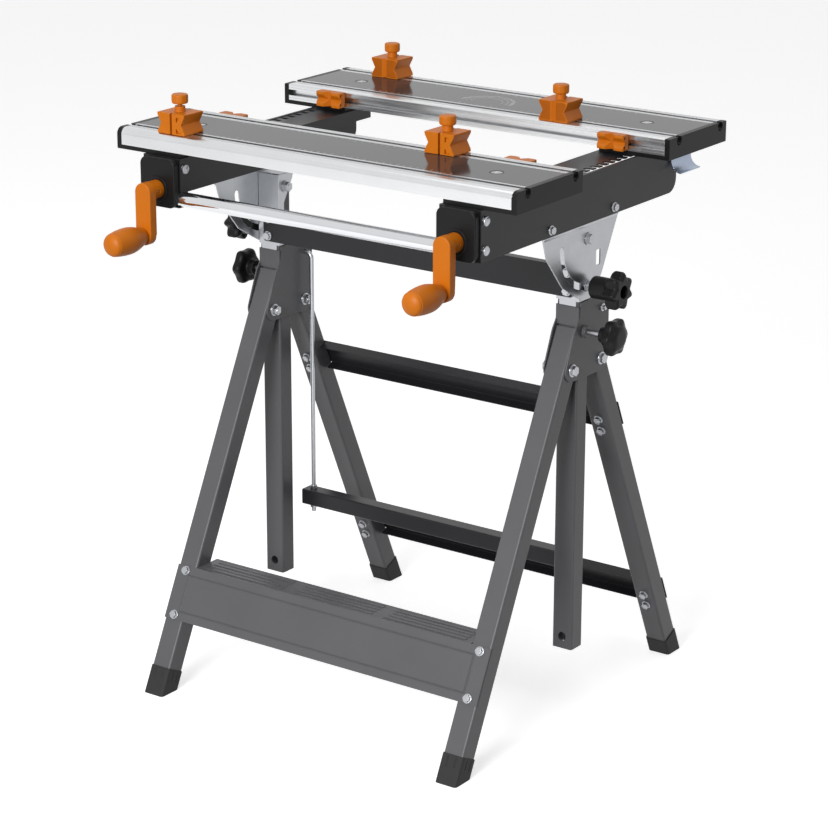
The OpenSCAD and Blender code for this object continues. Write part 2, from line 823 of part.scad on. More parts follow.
// Square bar with a plug in each end
module hanging_bar() {
    inner = hang_bar_s - 2 * hang_wall;
    color(anthracite) in_frame() translate([0, rod_back, hang_bar_h]) difference() {
        union() {
            side_sheet(-hang_bar_half, 2 * hang_bar_half) difference() {
                round_box(hang_bar_s, hang_bar_s, hang_corner_r);
                round_box(inner, inner, hang_corner_r / 2);
            }
            both_sides() side_sheet(hang_bar_half - plug_l, plug_l)
                round_box(inner + hang_wall, inner + hang_wall, hang_corner_r / 2);
        }
        both_sides() translate([rod_x, 0, -hang_bar_s]) cylinder(r = rod_r + bolt_gap, h = 2 * hang_bar_s);
    }
}

// Lobed knob head along +Z
module knob_head(r, t, lobes) {
    difference() {
        cylinder(r = r, h = t);
        for (k = [0:lobes - 1]) rotate([0, 0, (k + 0.5) * 360 / lobes]) translate([r + lobe_dip, 0, -cut])
            cylinder(r = lobe_dip + r * lobe_share, h = t + 2 * cut);
    }
}

// Flat knob that clamps a post at its height
module height_knob(side) {
    hub_x = tube_x + plate_out + height_necks[side > 0 ? 1 : 0];
    head_x = hub_x + height_hub_l;
    color(black) in_frame() on_side(side) translate([0, 0, height_knob_h]) {
        x_pin(tube_out + slide_gap, hub_x + cut, stud_r);
        x_pin(hub_x, head_x + cut, height_hub_r);
        translate([head_x, 0, 0]) rotate([0, 90, 0]) {
            knob_head(knob_r, height_head_t, height_lobes);
            translate([0, 0, height_head_t])
                cylinder(r1 = knob_r * crown_shares[0], r2 = knob_r * crown_shares[1], h = height_crown_t);
        }
    }
}

module height_knob_left() { height_knob(-1); }
module height_knob_right() { height_knob(1); }

// Long star knob that clamps a tilt plate
module tilt_knob(side) {
    wash = tilt_face + slide_gap;
    hub_x = wash + tilt_neck;
    head_x = hub_x + tilt_hub_l;
    color(black) in_frame() on_side(side) translate([0, 0, stud_h]) difference() {
        union() {
            x_pin(tube_x + stud_seat, hub_x + cut, stud_r);
            x_pin(wash, wash + washer_t, stud_d);
            translate([wash + washer_t, 0, 0]) rotate([0, 90, 0])
                cylinder(r = stud_d * hex_share, h = knob_nut_h, $fn = 6);
            x_pin(hub_x, head_x + cut, tilt_hub_r);
            translate([head_x, 0, 0]) rotate([0, 90, 0]) knob_head(knob_r, tilt_head_t, tilt_lobes);
        }
        x_pin(head_x + tilt_head_t - knob_eye_d, head_x + tilt_head_t + cut, knob_eye_r);
    }
}

module tilt_knob_left() { tilt_knob(-1); }
module tilt_knob_right() { tilt_knob(1); }

// Side outline of a tilt plate about the tilt pivot
module tilt_outline() {
    low = tilt_slot_r + tilt_skirt;
    difference() {
        polygon(concat([[-tilt_front, tilt_rise]], [for (p = tilt_edge_shares) [p[0] * tilt_front, p[1] * low]],
            [[-tilt_foot_w, -low], [tilt_foot_w / 2, -low]],
            [for (p = tilt_back_shares) [p[0] * tilt_rear, p[1] * low]], [[tilt_rear, tilt_rise]]));
        circle(pivot_r + run_fit);
        tilt_slot();
        translate([window_y, window_z]) round_box(window_w, window_h, window_r);
        for (y = [rail_bolt_front, rail_bolt_rear])
            translate([y, rail_bolt_z - tilt_pivot_h]) circle(bolt_r + bolt_gap);
    }
}

// Arc slot from below the pivot round to the front
module tilt_slot() {
    reach = 2 * tilt_slot_r;
    intersection() {
        difference() {
            circle(tilt_slot_r + tilt_slot_w / 2);
            circle(tilt_slot_r - tilt_slot_w / 2);
        }
        polygon([[0, 0], [0, -reach], [-reach, -reach], [-reach, -reach * tan(90 - tilt_slot_angle)]]);
    }
    for (a = [0, tilt_slot_angle]) rotate(-90 - a) translate([tilt_slot_r, 0]) circle(tilt_slot_w / 2 - run_fit);
}

module tilt_plate(side) {
    color(zinc) in_frame() on_side(side) translate([0, 0, tilt_pivot_h]) side_sheet(tilt_x, tilt_t) tilt_outline();
}

module tilt_plate_left() { tilt_plate(-1); }
module tilt_plate_right() { tilt_plate(1); }

// Side outline of a rail, rounded at its lower rear corner
module rail_outline() {
    r = rail_end_r;
    translate([-rail_front, rail_low]) square([rail_front + rail_rear - r, rail_h]);
    translate([-rail_front, rail_low + r]) square([rail_front + rail_rear, rail_h - r]);
    translate([rail_rear - r, rail_low + r]) circle(r);
}

function housing_screws() = [rail_low + housing_screw_ends, rail_top - housing_screw_ends];
housing_screw_y = -rail_front + housing_screw_in;

// Space cut from the inner side of a rail behind y and below top
module inner_cut(y, top) {
    translate([rail_in - cut, y, rail_low - cut])
        cube([rail_t + 2 * cut, rail_rear - y + cut, top - rail_low + cut]);
}

// Inverted channel with the rack and the nut's slot cut along its top
module rail(side) {
    rack_x = rail_x - rail_t - rack_wall - rack_strip;
    nut_front = jaw_y + nut_in;
    web_z = rail_top - rail_t - cut;
    web_h = rail_t + 2 * cut;
    color(anthracite) in_frame() on_side(side) difference() {
        side_sheet(rail_in, rail_w) rail_outline();
        translate([rail_in + rail_t, -rail_front - cut, rail_low - cut])
            cube([rail_w - 2 * rail_t, rail_front + rail_rear + 2 * cut, rail_h - rail_t + cut]);
        inner_cut(-rail_front - cut, rail_low + rail_h - inner_side_h);
        inner_cut(inner_step_y, rail_low + rail_h - inner_rack_h);
        inner_cut(rail_rear - inner_end_in, rail_top - rail_t);
        translate([rack_x, rack_front, web_z]) cube([rack_strip, rack_count * rack_pitch, web_h]);
        for (k = [0:rack_count - 1]) translate([rack_x - rack_reach, rack_front + k * rack_pitch, web_z])
            cube([rack_reach + cut, rack_pitch - rack_tooth, web_h]);
        translate([crank_x - nut_slot_w / 2, nut_front - cut, web_z])
            cube([nut_slot_w, jaw_travel + nut_l + 2 * cut, web_h]);
        translate([0, handle_y, handle_z]) x_pin(0, rail_in + 2 * rail_t, handle_d / 2 + seat_gap);
        for (z = housing_screws()) translate([0, housing_screw_y, z])
            x_pin(z > handle_z + handle_d ? rail_in - cut : housing_x, rail_x + cut, bolt_r + bolt_gap);
        for (y = [rail_bolt_front, rail_bolt_rear]) translate([0, y, rail_bolt_z])
            x_pin(tilt_x, rail_x + cut, bolt_r + bolt_gap);
    }
}

module rail_left() { rail(-1); }
module rail_right() { rail(1); }

// Plastic block in the end of a rail that carries the lead screw and the handle bar
module screw_housing(side) {
    mid = (rail_low + rail_top) / 2;
    nose_l = housing_nose - seat_gap;
    color(black) in_frame() on_side(side) difference() {
        union() {
            translate([housing_x, housing_y, mid]) rotate([-90, 0, 0]) linear_extrude(nose_l)
                round_box(housing_w, rail_h - 2 * side_gap, housing_r);
            translate([housing_x - housing_w / 2, housing_y + nose_l - cut, rail_low + side_gap])
                cube([housing_w, housing_l, rail_h - rail_t - 2 * side_gap]);
        }
        translate([crank_x, 0, crank_h])
            y_pin(housing_y - cut, housing_y + nose_l + housing_l, screw_r + run_fit);
        translate([0, handle_y, handle_z]) x_pin(0, handle_half + seat_gap, handle_d / 2 + seat_gap);
        for (z = housing_screws()) translate([0, housing_screw_y, z]) {
            x_pin(rail_x - pan_l - rail_t, rail_x, bolt_r);
            if (z > handle_z + handle_d) x_pin(rail_in, rail_in + pan_l + rail_t, bolt_r);
        }
    }
}

module screw_housing_left() { screw_housing(-1); }
module screw_housing_right() { screw_housing(1); }

// Screws of the housings, two outside and one inside over the handle bar, and bolts of the tilt plates
module top_fasteners() {
    r = bolt_r - bolt_gap;
    color(zinc) in_frame() both_sides() {
        for (z = housing_screws()) translate([0, housing_screw_y, z]) {
            x_pin(rail_x - pan_l, rail_x + seat_gap + cut, r);
            x_pin(rail_x + seat_gap, rail_x + seat_gap + pan_t, pan_r);
            if (z > handle_z + handle_d) {
                x_pin(rail_in - seat_gap - cut, rail_in + pan_l, r);
                x_pin(rail_in - seat_gap - pan_t, rail_in - seat_gap, pan_r);
            }
        }
        for (y = [rail_bolt_front, rail_bolt_rear]) translate([0, y, rail_bolt_z])
            x_bolt(rail_x + seat_gap, tilt_x - seat_gap, bolt_r);
    }
}

module handle_bar() {
    color(chrome) in_frame() translate([0, handle_y, handle_z]) difference() {
        x_pin(-handle_half, handle_half, handle_d / 2);
        x_pin(-handle_half - cut, handle_half + cut, handle_d / 2 - handle_wall);
    }
}

// T-slot that opens upwards at the origin
module tee_slot() {
    translate([-slot_w / 2, -slot_mouth]) square([slot_w, slot_mouth + cut]);
    translate([-slot_chamber_w / 2, -slot_mouth - slot_chamber_h]) square([slot_chamber_w, slot_chamber_h]);
}

function top_slots() = [front_slot_in, jaw_w - rear_slot_in];

// Cross-section of a jaw, Y from its front edge and Z from its underside
module jaw_profile(nose) {
    hollow_w = (panel_w - 2 * hollow_in - (hollows - 1) * jaw_wall) / hollows;
    difference() {
        jaw_outline(nose);
        for (y = top_slots()) translate([y, jaw_t]) tee_slot();
        translate([nose ? jaw_w : 0, face_slot_h]) rotate(nose ? -90 : 90) tee_slot();
        translate([panel_in, jaw_t - panel_t]) square([panel_w, panel_t + cut]);
        for (k = [0:hollows - 1]) translate([panel_in + hollow_in + k * (hollow_w + jaw_wall), jaw_wall])
            square([hollow_w, jaw_t - panel_t - 2 * jaw_wall]);
    }
}

module jaw_outline(nose) {
    r = nose ? nose_r : edge_r;
    translate([r, 0]) square([jaw_w - r - edge_r, jaw_t]);
    square([r + cut, jaw_t - r]);
    translate([r, jaw_t - r]) circle(r);
    translate([jaw_w - edge_r - cut, 0]) square([edge_r + cut, jaw_t - edge_r]);
    translate([jaw_w - edge_r, jaw_t - edge_r]) circle(edge_r);
}

// Places of the round plugs, seen from above
module at_plugs(y) {
    for (side = [-1, 1]) translate([side * plug_x, y + plug_in, top_h - panel_t - jaw_wall]) children();
}

module jaw(y, nose) {
    color(aluminium) in_frame() difference() {
        translate([0, y, jaw_low]) side_sheet(-jaw_l / 2, jaw_l) jaw_profile(nose);
        at_plugs(y) translate([0, 0, -cut]) cylinder(r = plug_r + panel_fit, h = panel_t + jaw_wall + 2 * cut);
    }
}

module front_jaw() { jaw(jaw_y, true); }
module rear_jaw() { jaw(rear_jaw_y, false); }

module jaw_panel(y) {
    color(panel_grey) in_frame() difference() {
        translate([-jaw_l / 2, y + panel_in + panel_fit, top_h - panel_t + panel_fit])
            cube([jaw_l, panel_w - 2 * panel_fit, panel_t - 2 * panel_fit]);
        at_plugs(y) cylinder(r = plug_r + panel_fit, h = panel_t + jaw_wall + cut);
    }
}

module front_jaw_panel() { jaw_panel(jaw_y); }
module rear_jaw_panel() { jaw_panel(rear_jaw_y); }

// End cap with the shoe that runs on the rail; the front one hangs the lead screw's nut below it
module end_cap(y, nose) {
    x0 = jaw_l / 2 + seat_gap;
    skirt_x = rail_x + bracket_t;
    nut_w = nut_slot_w - 2 * slide_gap;
    shoe_z = jaw_low - shoe_t;
    difference() {
        union() {
            translate([0, y, jaw_low]) side_sheet(x0, cap_out - x0) jaw_outline(nose);
            translate([x0, y, shoe_z]) cube([cap_out - x0, jaw_w, shoe_t + cut]);
            translate([shoe_in, y, shoe_z]) cube([cap_out - shoe_in, jaw_w, shoe_t - seat_gap]);
            if (nose) translate([crank_x - nut_w / 2, y + nut_in, crank_h - nut_under])
                cube([nut_w, nut_l, shoe_z - crank_h + nut_under + cut]);
        }
        for (s = top_slots()) translate([x0 - cut, y + s, top_h - slot_mouth - slot_chamber_h / 2])
            keyhole(cap_out - x0 + 2 * cut);
        if (nose) translate([crank_x, y + nut_in, crank_h]) y_pin(-cut, nut_l + cut, screw_r + run_fit);
        if (!nose) lever_bay();
    }
}

// Rounded opening at the end of a top slot
module keyhole(len) {
    x_pin(0, len, slot_chamber_h);
    translate([0, -slot_w / 2, 0]) cube([len, slot_w, slot_chamber_h + slot_mouth]);
}

// Room for a release lever under the rear jaw, with bores for its pin
module lever_bay() {
    translate([shoe_in + lever_pin_in / 2, lever_y - side_gap, jaw_low - shoe_t - cut])
        cube([skirt_of_bay, lever_l + 2 * side_gap, shoe_t + 2 * cut]);
    translate([shoe_in + lever_pin_in, lever_y, lever_pin_z])
        y_pin(-lever_pin_end - slide_gap, lever_l + lever_pin_end + slide_gap, lever_pin_r + run_fit);
}

module jaw_plugs(y) {
    at_plugs(y) {
        cylinder(r = plug_r, h = panel_t + jaw_wall);
        translate([0, 0, -plug_rim]) cylinder(r = plug_r - plug_rim, h = panel_t + jaw_wall);
    }
}

module jaw_caps(y, nose) {
    color(black) in_frame() {
        both_sides() end_cap(y, nose);
        jaw_plugs(y);
    }
}

module front_jaw_caps() { jaw_caps(jaw_y, true); }
module rear_jaw_caps() { jaw_caps(rear_jaw_y, false); }

// Sprung plate over the rail on a cross pin, its outer edge turned down and curled into a finger tab
module release_lever(side) {
    pin_x = shoe_in + lever_pin_in;
    low = rail_top + lever_gap;
    face = rail_x + bracket_t;
    color(zinc) in_frame() on_side(side) translate([0, lever_y, 0]) {
        translate([pin_x, 0, lever_pin_z]) y_pin(-lever_pin_end, lever_l + lever_pin_end, lever_pin_r);
        translate([0, lever_l, 0]) rotate([90, 0, 0]) linear_extrude(lever_l) {
            translate([pin_x, low]) square([face + lever_t - pin_x, lever_t]);
            translate([face, low + lever_t - lever_drop]) square([lever_t, lever_drop]);
            translate([face + lever_curl, low + lever_t - lever_drop]) difference() {
                circle(lever_curl);
                circle(lever_curl - lever_t);
                translate([-lever_curl - cut, 0]) square([2 * lever_curl + 2 * cut, lever_curl + cut]);
                translate([0, -lever_curl - cut]) square([lever_curl + cut, 2 * lever_curl + 2 * cut]);
            }
        }
    }
}

lever_pin_z = jaw_low - shoe_t / 2;
skirt_of_bay = rail_x + lever_curl - shoe_in;

module release_lever_left() { release_lever(-1); }
module release_lever_right() { release_lever(1); }

// Moulded crank arm with its hub, and the pin that its grip turns on
module crank(side) {
    color(orange) in_frame() on_side(side) translate([crank_x, 0, crank_h]) difference() {
        union() {
            y_pin(arm_back - cut, hub_back, hub_r);
            translate([0, arm_back, 0]) rotate([90, 0, 0]) linear_extrude(arm_t) {
                for (z = [0, -crank_throw]) translate([0, z]) circle(arm_w / 2);
                translate([-arm_w / 2, -crank_throw]) square([arm_w, crank_throw]);
            }
            translate([0, 0, -crank_throw]) y_pin(arm_front - grip_l * grip_pin_share, arm_front + cut, grip_pin_r);
        }
        y_pin(arm_back, housing_y, screw_r + run_fit);
        translate([0, hub_back - hub_l / 2, 0]) x_pin(-2 * hub_r, 2 * hub_r, roll_pin_r + run_fit);
    }
}

module crank_left() { crank(-1); }
module crank_right() { crank(1); }

// Lead screw, with the roll pin that holds the crank on it
module lead_screw(side) {
    color(zinc) in_frame() on_side(side) translate([crank_x, 0, crank_h]) {
        y_pin(arm_back + hub_web, housing_y + screw_l, screw_r);
        translate([0, hub_back - hub_l / 2, 0]) x_pin(-hub_r + cut, hub_r - cut, roll_pin_r);
    }
}

module lead_screw_left() { lead_screw(-1); }
module lead_screw_right() { lead_screw(1); }

// Barrel grip that spins on the crank's pin
module crank_grip(side) {
    color(orange) in_frame() on_side(side) translate([crank_x, grip_back, crank_h - crank_throw])
        rotate([90, 0, 0]) difference() {
            rotate_extrude() grip_profile();
            translate([0, 0, -cut]) cylinder(r = grip_pin_r + run_fit, h = cut + grip_l * grip_bore_share);
        }
}

grip_neck_share = 0.56;
grip_tip_share = 0.86;
grip_swell_share = 0.55;
grip_dome_share = 0.12;
grip_steps = 16;
dome_steps = 6;

// Half outline of the grip: narrow neck, swelling barrel and domed end
module grip_profile() {
    neck = grip_r * grip_neck_share;
    tip = grip_r * grip_tip_share;
    barrel = grip_l * (1 - grip_dome_share);
    swell = [for (k = [0:grip_steps]) let (u = k / grip_steps,
            rise = min(1, u / grip_swell_share), fall = max(0, (u - grip_swell_share) / (1 - grip_swell_share)))
        [neck + (grip_r - neck) * sin(90 * rise) - (grip_r - tip) * pow(fall, 2), u * barrel]];
    dome = [for (k = [1:dome_steps]) let (a = 90 * k / dome_steps)
        [tip * cos(a), barrel + (grip_l - barrel) * sin(a)]];
    polygon(concat([[0, 0]], swell, dome));
}

module crank_grip_left() { crank_grip(-1); }
module crank_grip_right() { crank_grip(1); }

// Top dog seen from above, its working face towards +Y
module dog_outline() {
    half = dog_w / 2;
    face = dog_d / 2;
    gap = dog_split / 2;
    polygon([[-half, -face], [-half, face], [-dog_vee, face], [0, face - dog_vee], [dog_vee, face], [half, face],
        [half, -face], [gap, -face], [gap, dog_split_d - face], [-gap, dog_split_d - face], [-gap, -face]]);
}

// Tongue and foot that hold a dog in its slot, drawn downwards
module slot_foot(w) {
    tongue_half = slot_w / 2 - slide_gap;
    foot_half = slot_chamber_w / 2 - foot_play;
    translate([-w / 2, -tongue_half, -slot_mouth - tongue_in])
        cube([w, 2 * tongue_half, slot_mouth + tongue_in + cut]);
    translate([-w / 2, -foot_half, foot_play - slot_mouth - slot_chamber_h])
        cube([w, 2 * foot_half, slot_chamber_h - 2 * foot_play]);
}

module top_dog(at, facing) {
    groove = dog_h * dog_groove_share;
    color(orange) in_frame() translate([at[0], at[1], top_h + slide_gap]) rotate([0, 0, facing > 0 ? 0 : 180])
        difference() {
            union() {
                linear_extrude(dog_h) dog_outline();
                translate([0, 0, dog_h - cut]) cylinder(r = dog_neck_r, h = dog_neck_h + cut);
                slot_foot(dog_w * dog_foot_share);
            }
            for (s = [-1, 1]) translate([s * dog_w / 2, dog_d, dog_h / 2]) rotate([90, 0, 0])
                linear_extrude(2 * dog_d) polygon([[-dog_side_vee, 0], [0, -groove], [dog_side_vee, 0], [0, groove]]);
            translate([0, 0, -slot_mouth - slot_chamber_h])
                cylinder(r = dog_stud_r + bolt_gap, h = dog_h + dog_neck_h + slot_mouth + slot_chamber_h + cut);
        }
}

// Screw knob that clamps a top dog in its slot
module dog_knob(at, lift) {
    edge = dog_head_edge;
    seat = dog_h + dog_neck_h + side_gap;
    color(orange) in_frame() translate([at[0], at[1], top_h + slide_gap]) {
        translate([0, 0, lift - slot_mouth - tongue_in]) cylinder(r = dog_stud_r, h = slot_mouth + tongue_in + seat + edge);
        translate([0, 0, lift + seat]) rotate_extrude()
            polygon([[0, 0], [dog_knob_r - edge, 0], [dog_knob_r, edge],
                [dog_knob_r, dog_head_h - edge], [dog_knob_r - edge, dog_head_h], [0, dog_head_h]]);
    }
}

// Middles of the four top dogs
dog_front_left_end = 79;
dog_front_left_lift = 3;
dog_front_left_at = [dog_front_left_end - jaw_l / 2, jaw_y + front_slot_in];
dog_front_right_end = 180;
dog_front_right_at = [jaw_l / 2 - dog_front_right_end, jaw_y + jaw_w - rear_slot_in];
dog_rear_left_end = 83;
dog_rear_left_at = [dog_rear_left_end - jaw_l / 2, rear_jaw_y + jaw_w - rear_slot_in];
dog_rear_right_end = 171;
dog_rear_right_at = [jaw_l / 2 - dog_rear_right_end, rear_jaw_y + front_slot_in];

module dog_front_left() { top_dog(dog_front_left_at, 1); }
module dog_front_right() { top_dog(dog_front_right_at, 1); }
module dog_rear_left() { top_dog(dog_rear_left_at, -1); }
module dog_rear_right() { top_dog(dog_rear_right_at, -1); }
module dog_knob_front_left() { dog_knob(dog_front_left_at, dog_front_left_lift); }
module dog_knob_front_right() { dog_knob(dog_front_right_at, 0); }
module dog_knob_rear_left() { dog_knob(dog_rear_left_at, 0); }
module dog_knob_rear_right() { dog_knob(dog_rear_right_at, 0); }

// Side dog on a jaw's inner face, its vees towards +Y
module side_dog(x, y, facing) {
    groove = side_dog_h * groove_share;
    low = side_dog_lift - side_dog_h / 2;
    face = side_dog_d + slide_gap;
    color(orange) in_frame() translate([x, y, jaw_low + face_slot_h]) rotate([0, 0, facing > 0 ? 0 : 180])
        difference() {
            union() {
                translate([0, 0, low]) linear_extrude(side_dog_h) side_dog_outline();
                rotate([-90, 0, 0]) slot_foot(side_dog_w * dog_foot_share);
            }
            translate([0, face, low + side_dog_h / 2]) side_sheet(-side_dog_w, 2 * side_dog_w)
                polygon([[cut, 0], [0, groove], [-side_dog_groove, 0], [0, -groove]]);
        }
}

module side_dog_outline() {
    half = side_dog_w / 2;
    y0 = slide_gap;
    y1 = side_dog_d + slide_gap;
    b = side_dog_bevel;
    polygon([[b - half, y0], [-half, y0 + b], [-half, y1 - b], [b - half, y1], [-side_dog_vee, y1],
        [0, y1 - side_dog_vee_d], [side_dog_vee, y1], [half - b, y1], [half, y1 - b], [half, y0 + b], [half - b, y0]]);
}

// Places of the four side dogs along the jaws
side_front_left_end = 61;
side_front_left_x = side_front_left_end - jaw_l / 2;
side_front_right_end = 88;
side_front_right_x = jaw_l / 2 - side_front_right_end;
side_rear_left_end = 78;
side_rear_left_x = side_rear_left_end - jaw_l / 2;
side_rear_right_end = 72;
side_rear_right_x = jaw_l / 2 - side_rear_right_end;

module side_dog_front_left() { side_dog(side_front_left_x, jaw_y + jaw_w, 1); }
module side_dog_front_right() { side_dog(side_front_right_x, jaw_y + jaw_w, 1); }
module side_dog_rear_left() { side_dog(side_rear_left_x, rear_jaw_y, -1); }
module side_dog_rear_right() { side_dog(side_rear_right_x, rear_jaw_y, -1); }

head_bracket_left();
head_bracket_right();
leg_pivot_bolts();
front_leg_left();
front_leg_right();
front_step();
front_step_bolts();
front_feet();
rear_leg_left();
rear_leg_right();
rear_crossbar_upper();
rear_crossbar_lower();
rear_crossbar_bolts();
rear_feet();
post_left();
post_right();
post_crossbar();
post_bracket_left();
post_bracket_right();
post_bolts();
hanging_rods();
hanging_bar();
height_knob_left();
height_knob_right();
tilt_knob_left();
tilt_knob_right();
rail_left();
rail_right();
tilt_plate_left();
tilt_plate_right();
screw_housing_left();
screw_housing_right();
top_fasteners();
handle_bar();
front_jaw();
front_jaw_panel();
front_jaw_caps();
rear_jaw();
rear_jaw_panel();
rear_jaw_caps();
crank_left();
crank_right();
lead_screw_left();
lead_screw_right();
crank_grip_left();
crank_grip_right();
release_lever_left();
release_lever_right();
dog_front_left();
dog_front_right();
dog_rear_left();
dog_rear_right();
dog_knob_front_left();
dog_knob_front_right();
dog_knob_rear_left();
dog_knob_rear_right();
side_dog_front_left();
side_dog_front_right();
side_dog_rear_left();
side_dog_rear_right();
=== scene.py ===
import json
import math
import bpy
import bmesh
from mathutils import Matrix, Vector

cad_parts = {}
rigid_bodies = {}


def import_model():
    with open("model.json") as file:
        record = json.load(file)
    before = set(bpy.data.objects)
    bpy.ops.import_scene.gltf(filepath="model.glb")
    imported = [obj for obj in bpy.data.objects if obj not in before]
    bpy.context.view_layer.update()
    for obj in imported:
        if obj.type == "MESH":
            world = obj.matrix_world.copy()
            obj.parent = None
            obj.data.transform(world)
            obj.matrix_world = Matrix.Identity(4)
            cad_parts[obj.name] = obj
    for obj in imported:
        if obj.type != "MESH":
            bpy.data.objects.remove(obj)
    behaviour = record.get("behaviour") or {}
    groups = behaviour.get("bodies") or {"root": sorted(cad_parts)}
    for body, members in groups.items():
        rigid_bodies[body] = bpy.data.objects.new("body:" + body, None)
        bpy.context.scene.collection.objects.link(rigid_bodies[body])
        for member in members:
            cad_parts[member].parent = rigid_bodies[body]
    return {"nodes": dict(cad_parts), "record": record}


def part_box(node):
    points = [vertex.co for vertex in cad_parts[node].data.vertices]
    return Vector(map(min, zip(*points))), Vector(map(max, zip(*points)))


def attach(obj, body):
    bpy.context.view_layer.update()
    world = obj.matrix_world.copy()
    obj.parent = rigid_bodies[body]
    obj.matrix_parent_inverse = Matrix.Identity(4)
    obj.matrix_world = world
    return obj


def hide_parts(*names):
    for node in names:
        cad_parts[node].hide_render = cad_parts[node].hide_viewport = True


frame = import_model()
for spare in [item for item in bpy.data.objects if item.name in ("Cube", "Light", "Camera")]:
    bpy.data.objects.remove(spare)
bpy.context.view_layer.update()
cadNodes = frame["nodes"]
bodyOfNode = {name: body for body, names in frame["record"]["behaviour"]["bodies"].items() for name in names}
mm = 0.001


def linearColour(code):
    parts = [int(code[i:i + 2], 16) / 255 for i in (1, 3, 5)]
    return tuple(c / 12.92 if c <= 0.04045 else ((c + 0.055) / 1.055) ** 2.4 for c in parts) + (1.0,)


def addNode(tree, kind, settings=None, **sockets):
    # sockets are named with _ for a space, or iN for the Nth input
    node = tree.nodes.new(kind)
    for key, value in (settings or {}).items():
        setattr(node, key, value)
    for key, value in sockets.items():
        where = int(key[1:]) if key[0] == "i" and key[1:].isdigit() else key.replace("_", " ")
        if isinstance(value, bpy.types.NodeSocket):
            tree.links.new(value, node.inputs[where])
        else:
            node.inputs[where].default_value = value
    return node


def newFinish(name):
    finish = bpy.data.materials.new(name)
    finish.use_nodes = True
    tree = finish.node_tree
    tree.nodes.clear()
    shader = addNode(tree, "ShaderNodeBsdfPrincipled")
    addNode(tree, "ShaderNodeOutputMaterial", Surface=shader.outputs["BSDF"])
    return finish, tree, shader, addNode(tree, "ShaderNodeTexCoord").outputs["Object"]


def powderCoat(name, look):
    finish, tree, shader, place = newFinish(name)
    cloud = addNode(tree, "ShaderNodeTexNoise", Vector=place, Scale=1 / (look["cloudMm"] * mm), Detail=3.0)
    tint = addNode(tree, "ShaderNodeMix", {"data_type": "RGBA"}, Factor=cloud.outputs["Fac"],
                   i6=linearColour(look["colour"]), i7=linearColour(look["cloud"]))
    peel = addNode(tree, "ShaderNodeTexNoise", Vector=place, Scale=1 / (look["peelMm"] * mm), Detail=2.0)
    bump = addNode(tree, "ShaderNodeBump", Strength=look["peelDepth"], Distance=0.1 * mm, Height=peel.outputs["Fac"])
    gloss = addNode(tree, "ShaderNodeMapRange", Value=cloud.outputs["Fac"],
                    To_Min=look["roughness"] - 0.04, To_Max=look["roughness"] + 0.05)
    shader.inputs["Specular IOR Level"].default_value = look["specular"]
    tree.links.new(tint.outputs[2], shader.inputs["Base Color"])
    tree.links.new(gloss.outputs["Result"], shader.inputs["Roughness"])
    tree.links.new(bump.outputs["Normal"], shader.inputs["Normal"])
    return finish


def platedMetal(name, look):
    # slow blotches in tone and gloss, and fine drawn lines along the stretched axis
    finish, tree, shader, place = newFinish(name)
    blotch = addNode(tree, "ShaderNodeTexNoise", Vector=place, Scale=1 / (look["blotchMm"] * mm), Detail=4.0)
    tint = addNode(tree, "ShaderNodeMix", {"data_type": "RGBA"}, Factor=blotch.outputs["Fac"],
                   i6=linearColour(look["colour"]), i7=linearColour(look["blotch"]))
    stretch = addNode(tree, "ShaderNodeMapping", Vector=place, Scale=look["lineScale"])
    line = addNode(tree, "ShaderNodeTexNoise", Vector=stretch.outputs["Vector"], Scale=1 / (look["lineMm"] * mm), Detail=3.0)
    bump = addNode(tree, "ShaderNodeBump", Strength=look["lineDepth"], Distance=0.05 * mm, Height=line.outputs["Fac"])
    gloss = addNode(tree, "ShaderNodeMapRange", Value=blotch.outputs["Fac"],
                    To_Min=look["roughness"] * 0.85, To_Max=look["roughness"] * 1.2)
    shader.inputs["Metallic"].default_value = 1.0
    tree.links.new(tint.outputs[2], shader.inputs["Base Color"])
    tree.links.new(gloss.outputs["Result"], shader.inputs["Roughness"])
    tree.links.new(bump.outputs["Normal"], shader.inputs["Normal"])
    return finish


def mouldedPlastic(name, look):
    # fine spark-eroded grain from the tool, and a slight drift in tone
    finish, tree, shader, place = newFinish(name)
    drift = addNode(tree, "ShaderNodeTexNoise", Vector=place, Scale=1 / (look["driftMm"] * mm), Detail=2.0)
    tint = addNode(tree, "ShaderNodeMix", {"data_type": "RGBA"}, Factor=drift.outputs["Fac"],
                   i6=linearColour(look["colour"]), i7=linearColour(look["drift"]))
    grain = addNode(tree, "ShaderNodeTexNoise", Vector=place, Scale=1 / (look["grainMm"] * mm), Detail=2.0)
    bump = addNode(tree, "ShaderNodeBump", Strength=look["grainDepth"], Distance=0.08 * mm, Height=grain.outputs["Fac"])
    shader.inputs["IOR"].default_value = look["ior"]
    shader.inputs["Specular IOR Level"].default_value = look["specular"]
    shader.inputs["Roughness"].default_value = look["roughness"]
    tree.links.new(tint.outputs[2], shader.inputs["Base Color"])
    tree.links.new(bump.outputs["Normal"], shader.inputs["Normal"])
    return finish


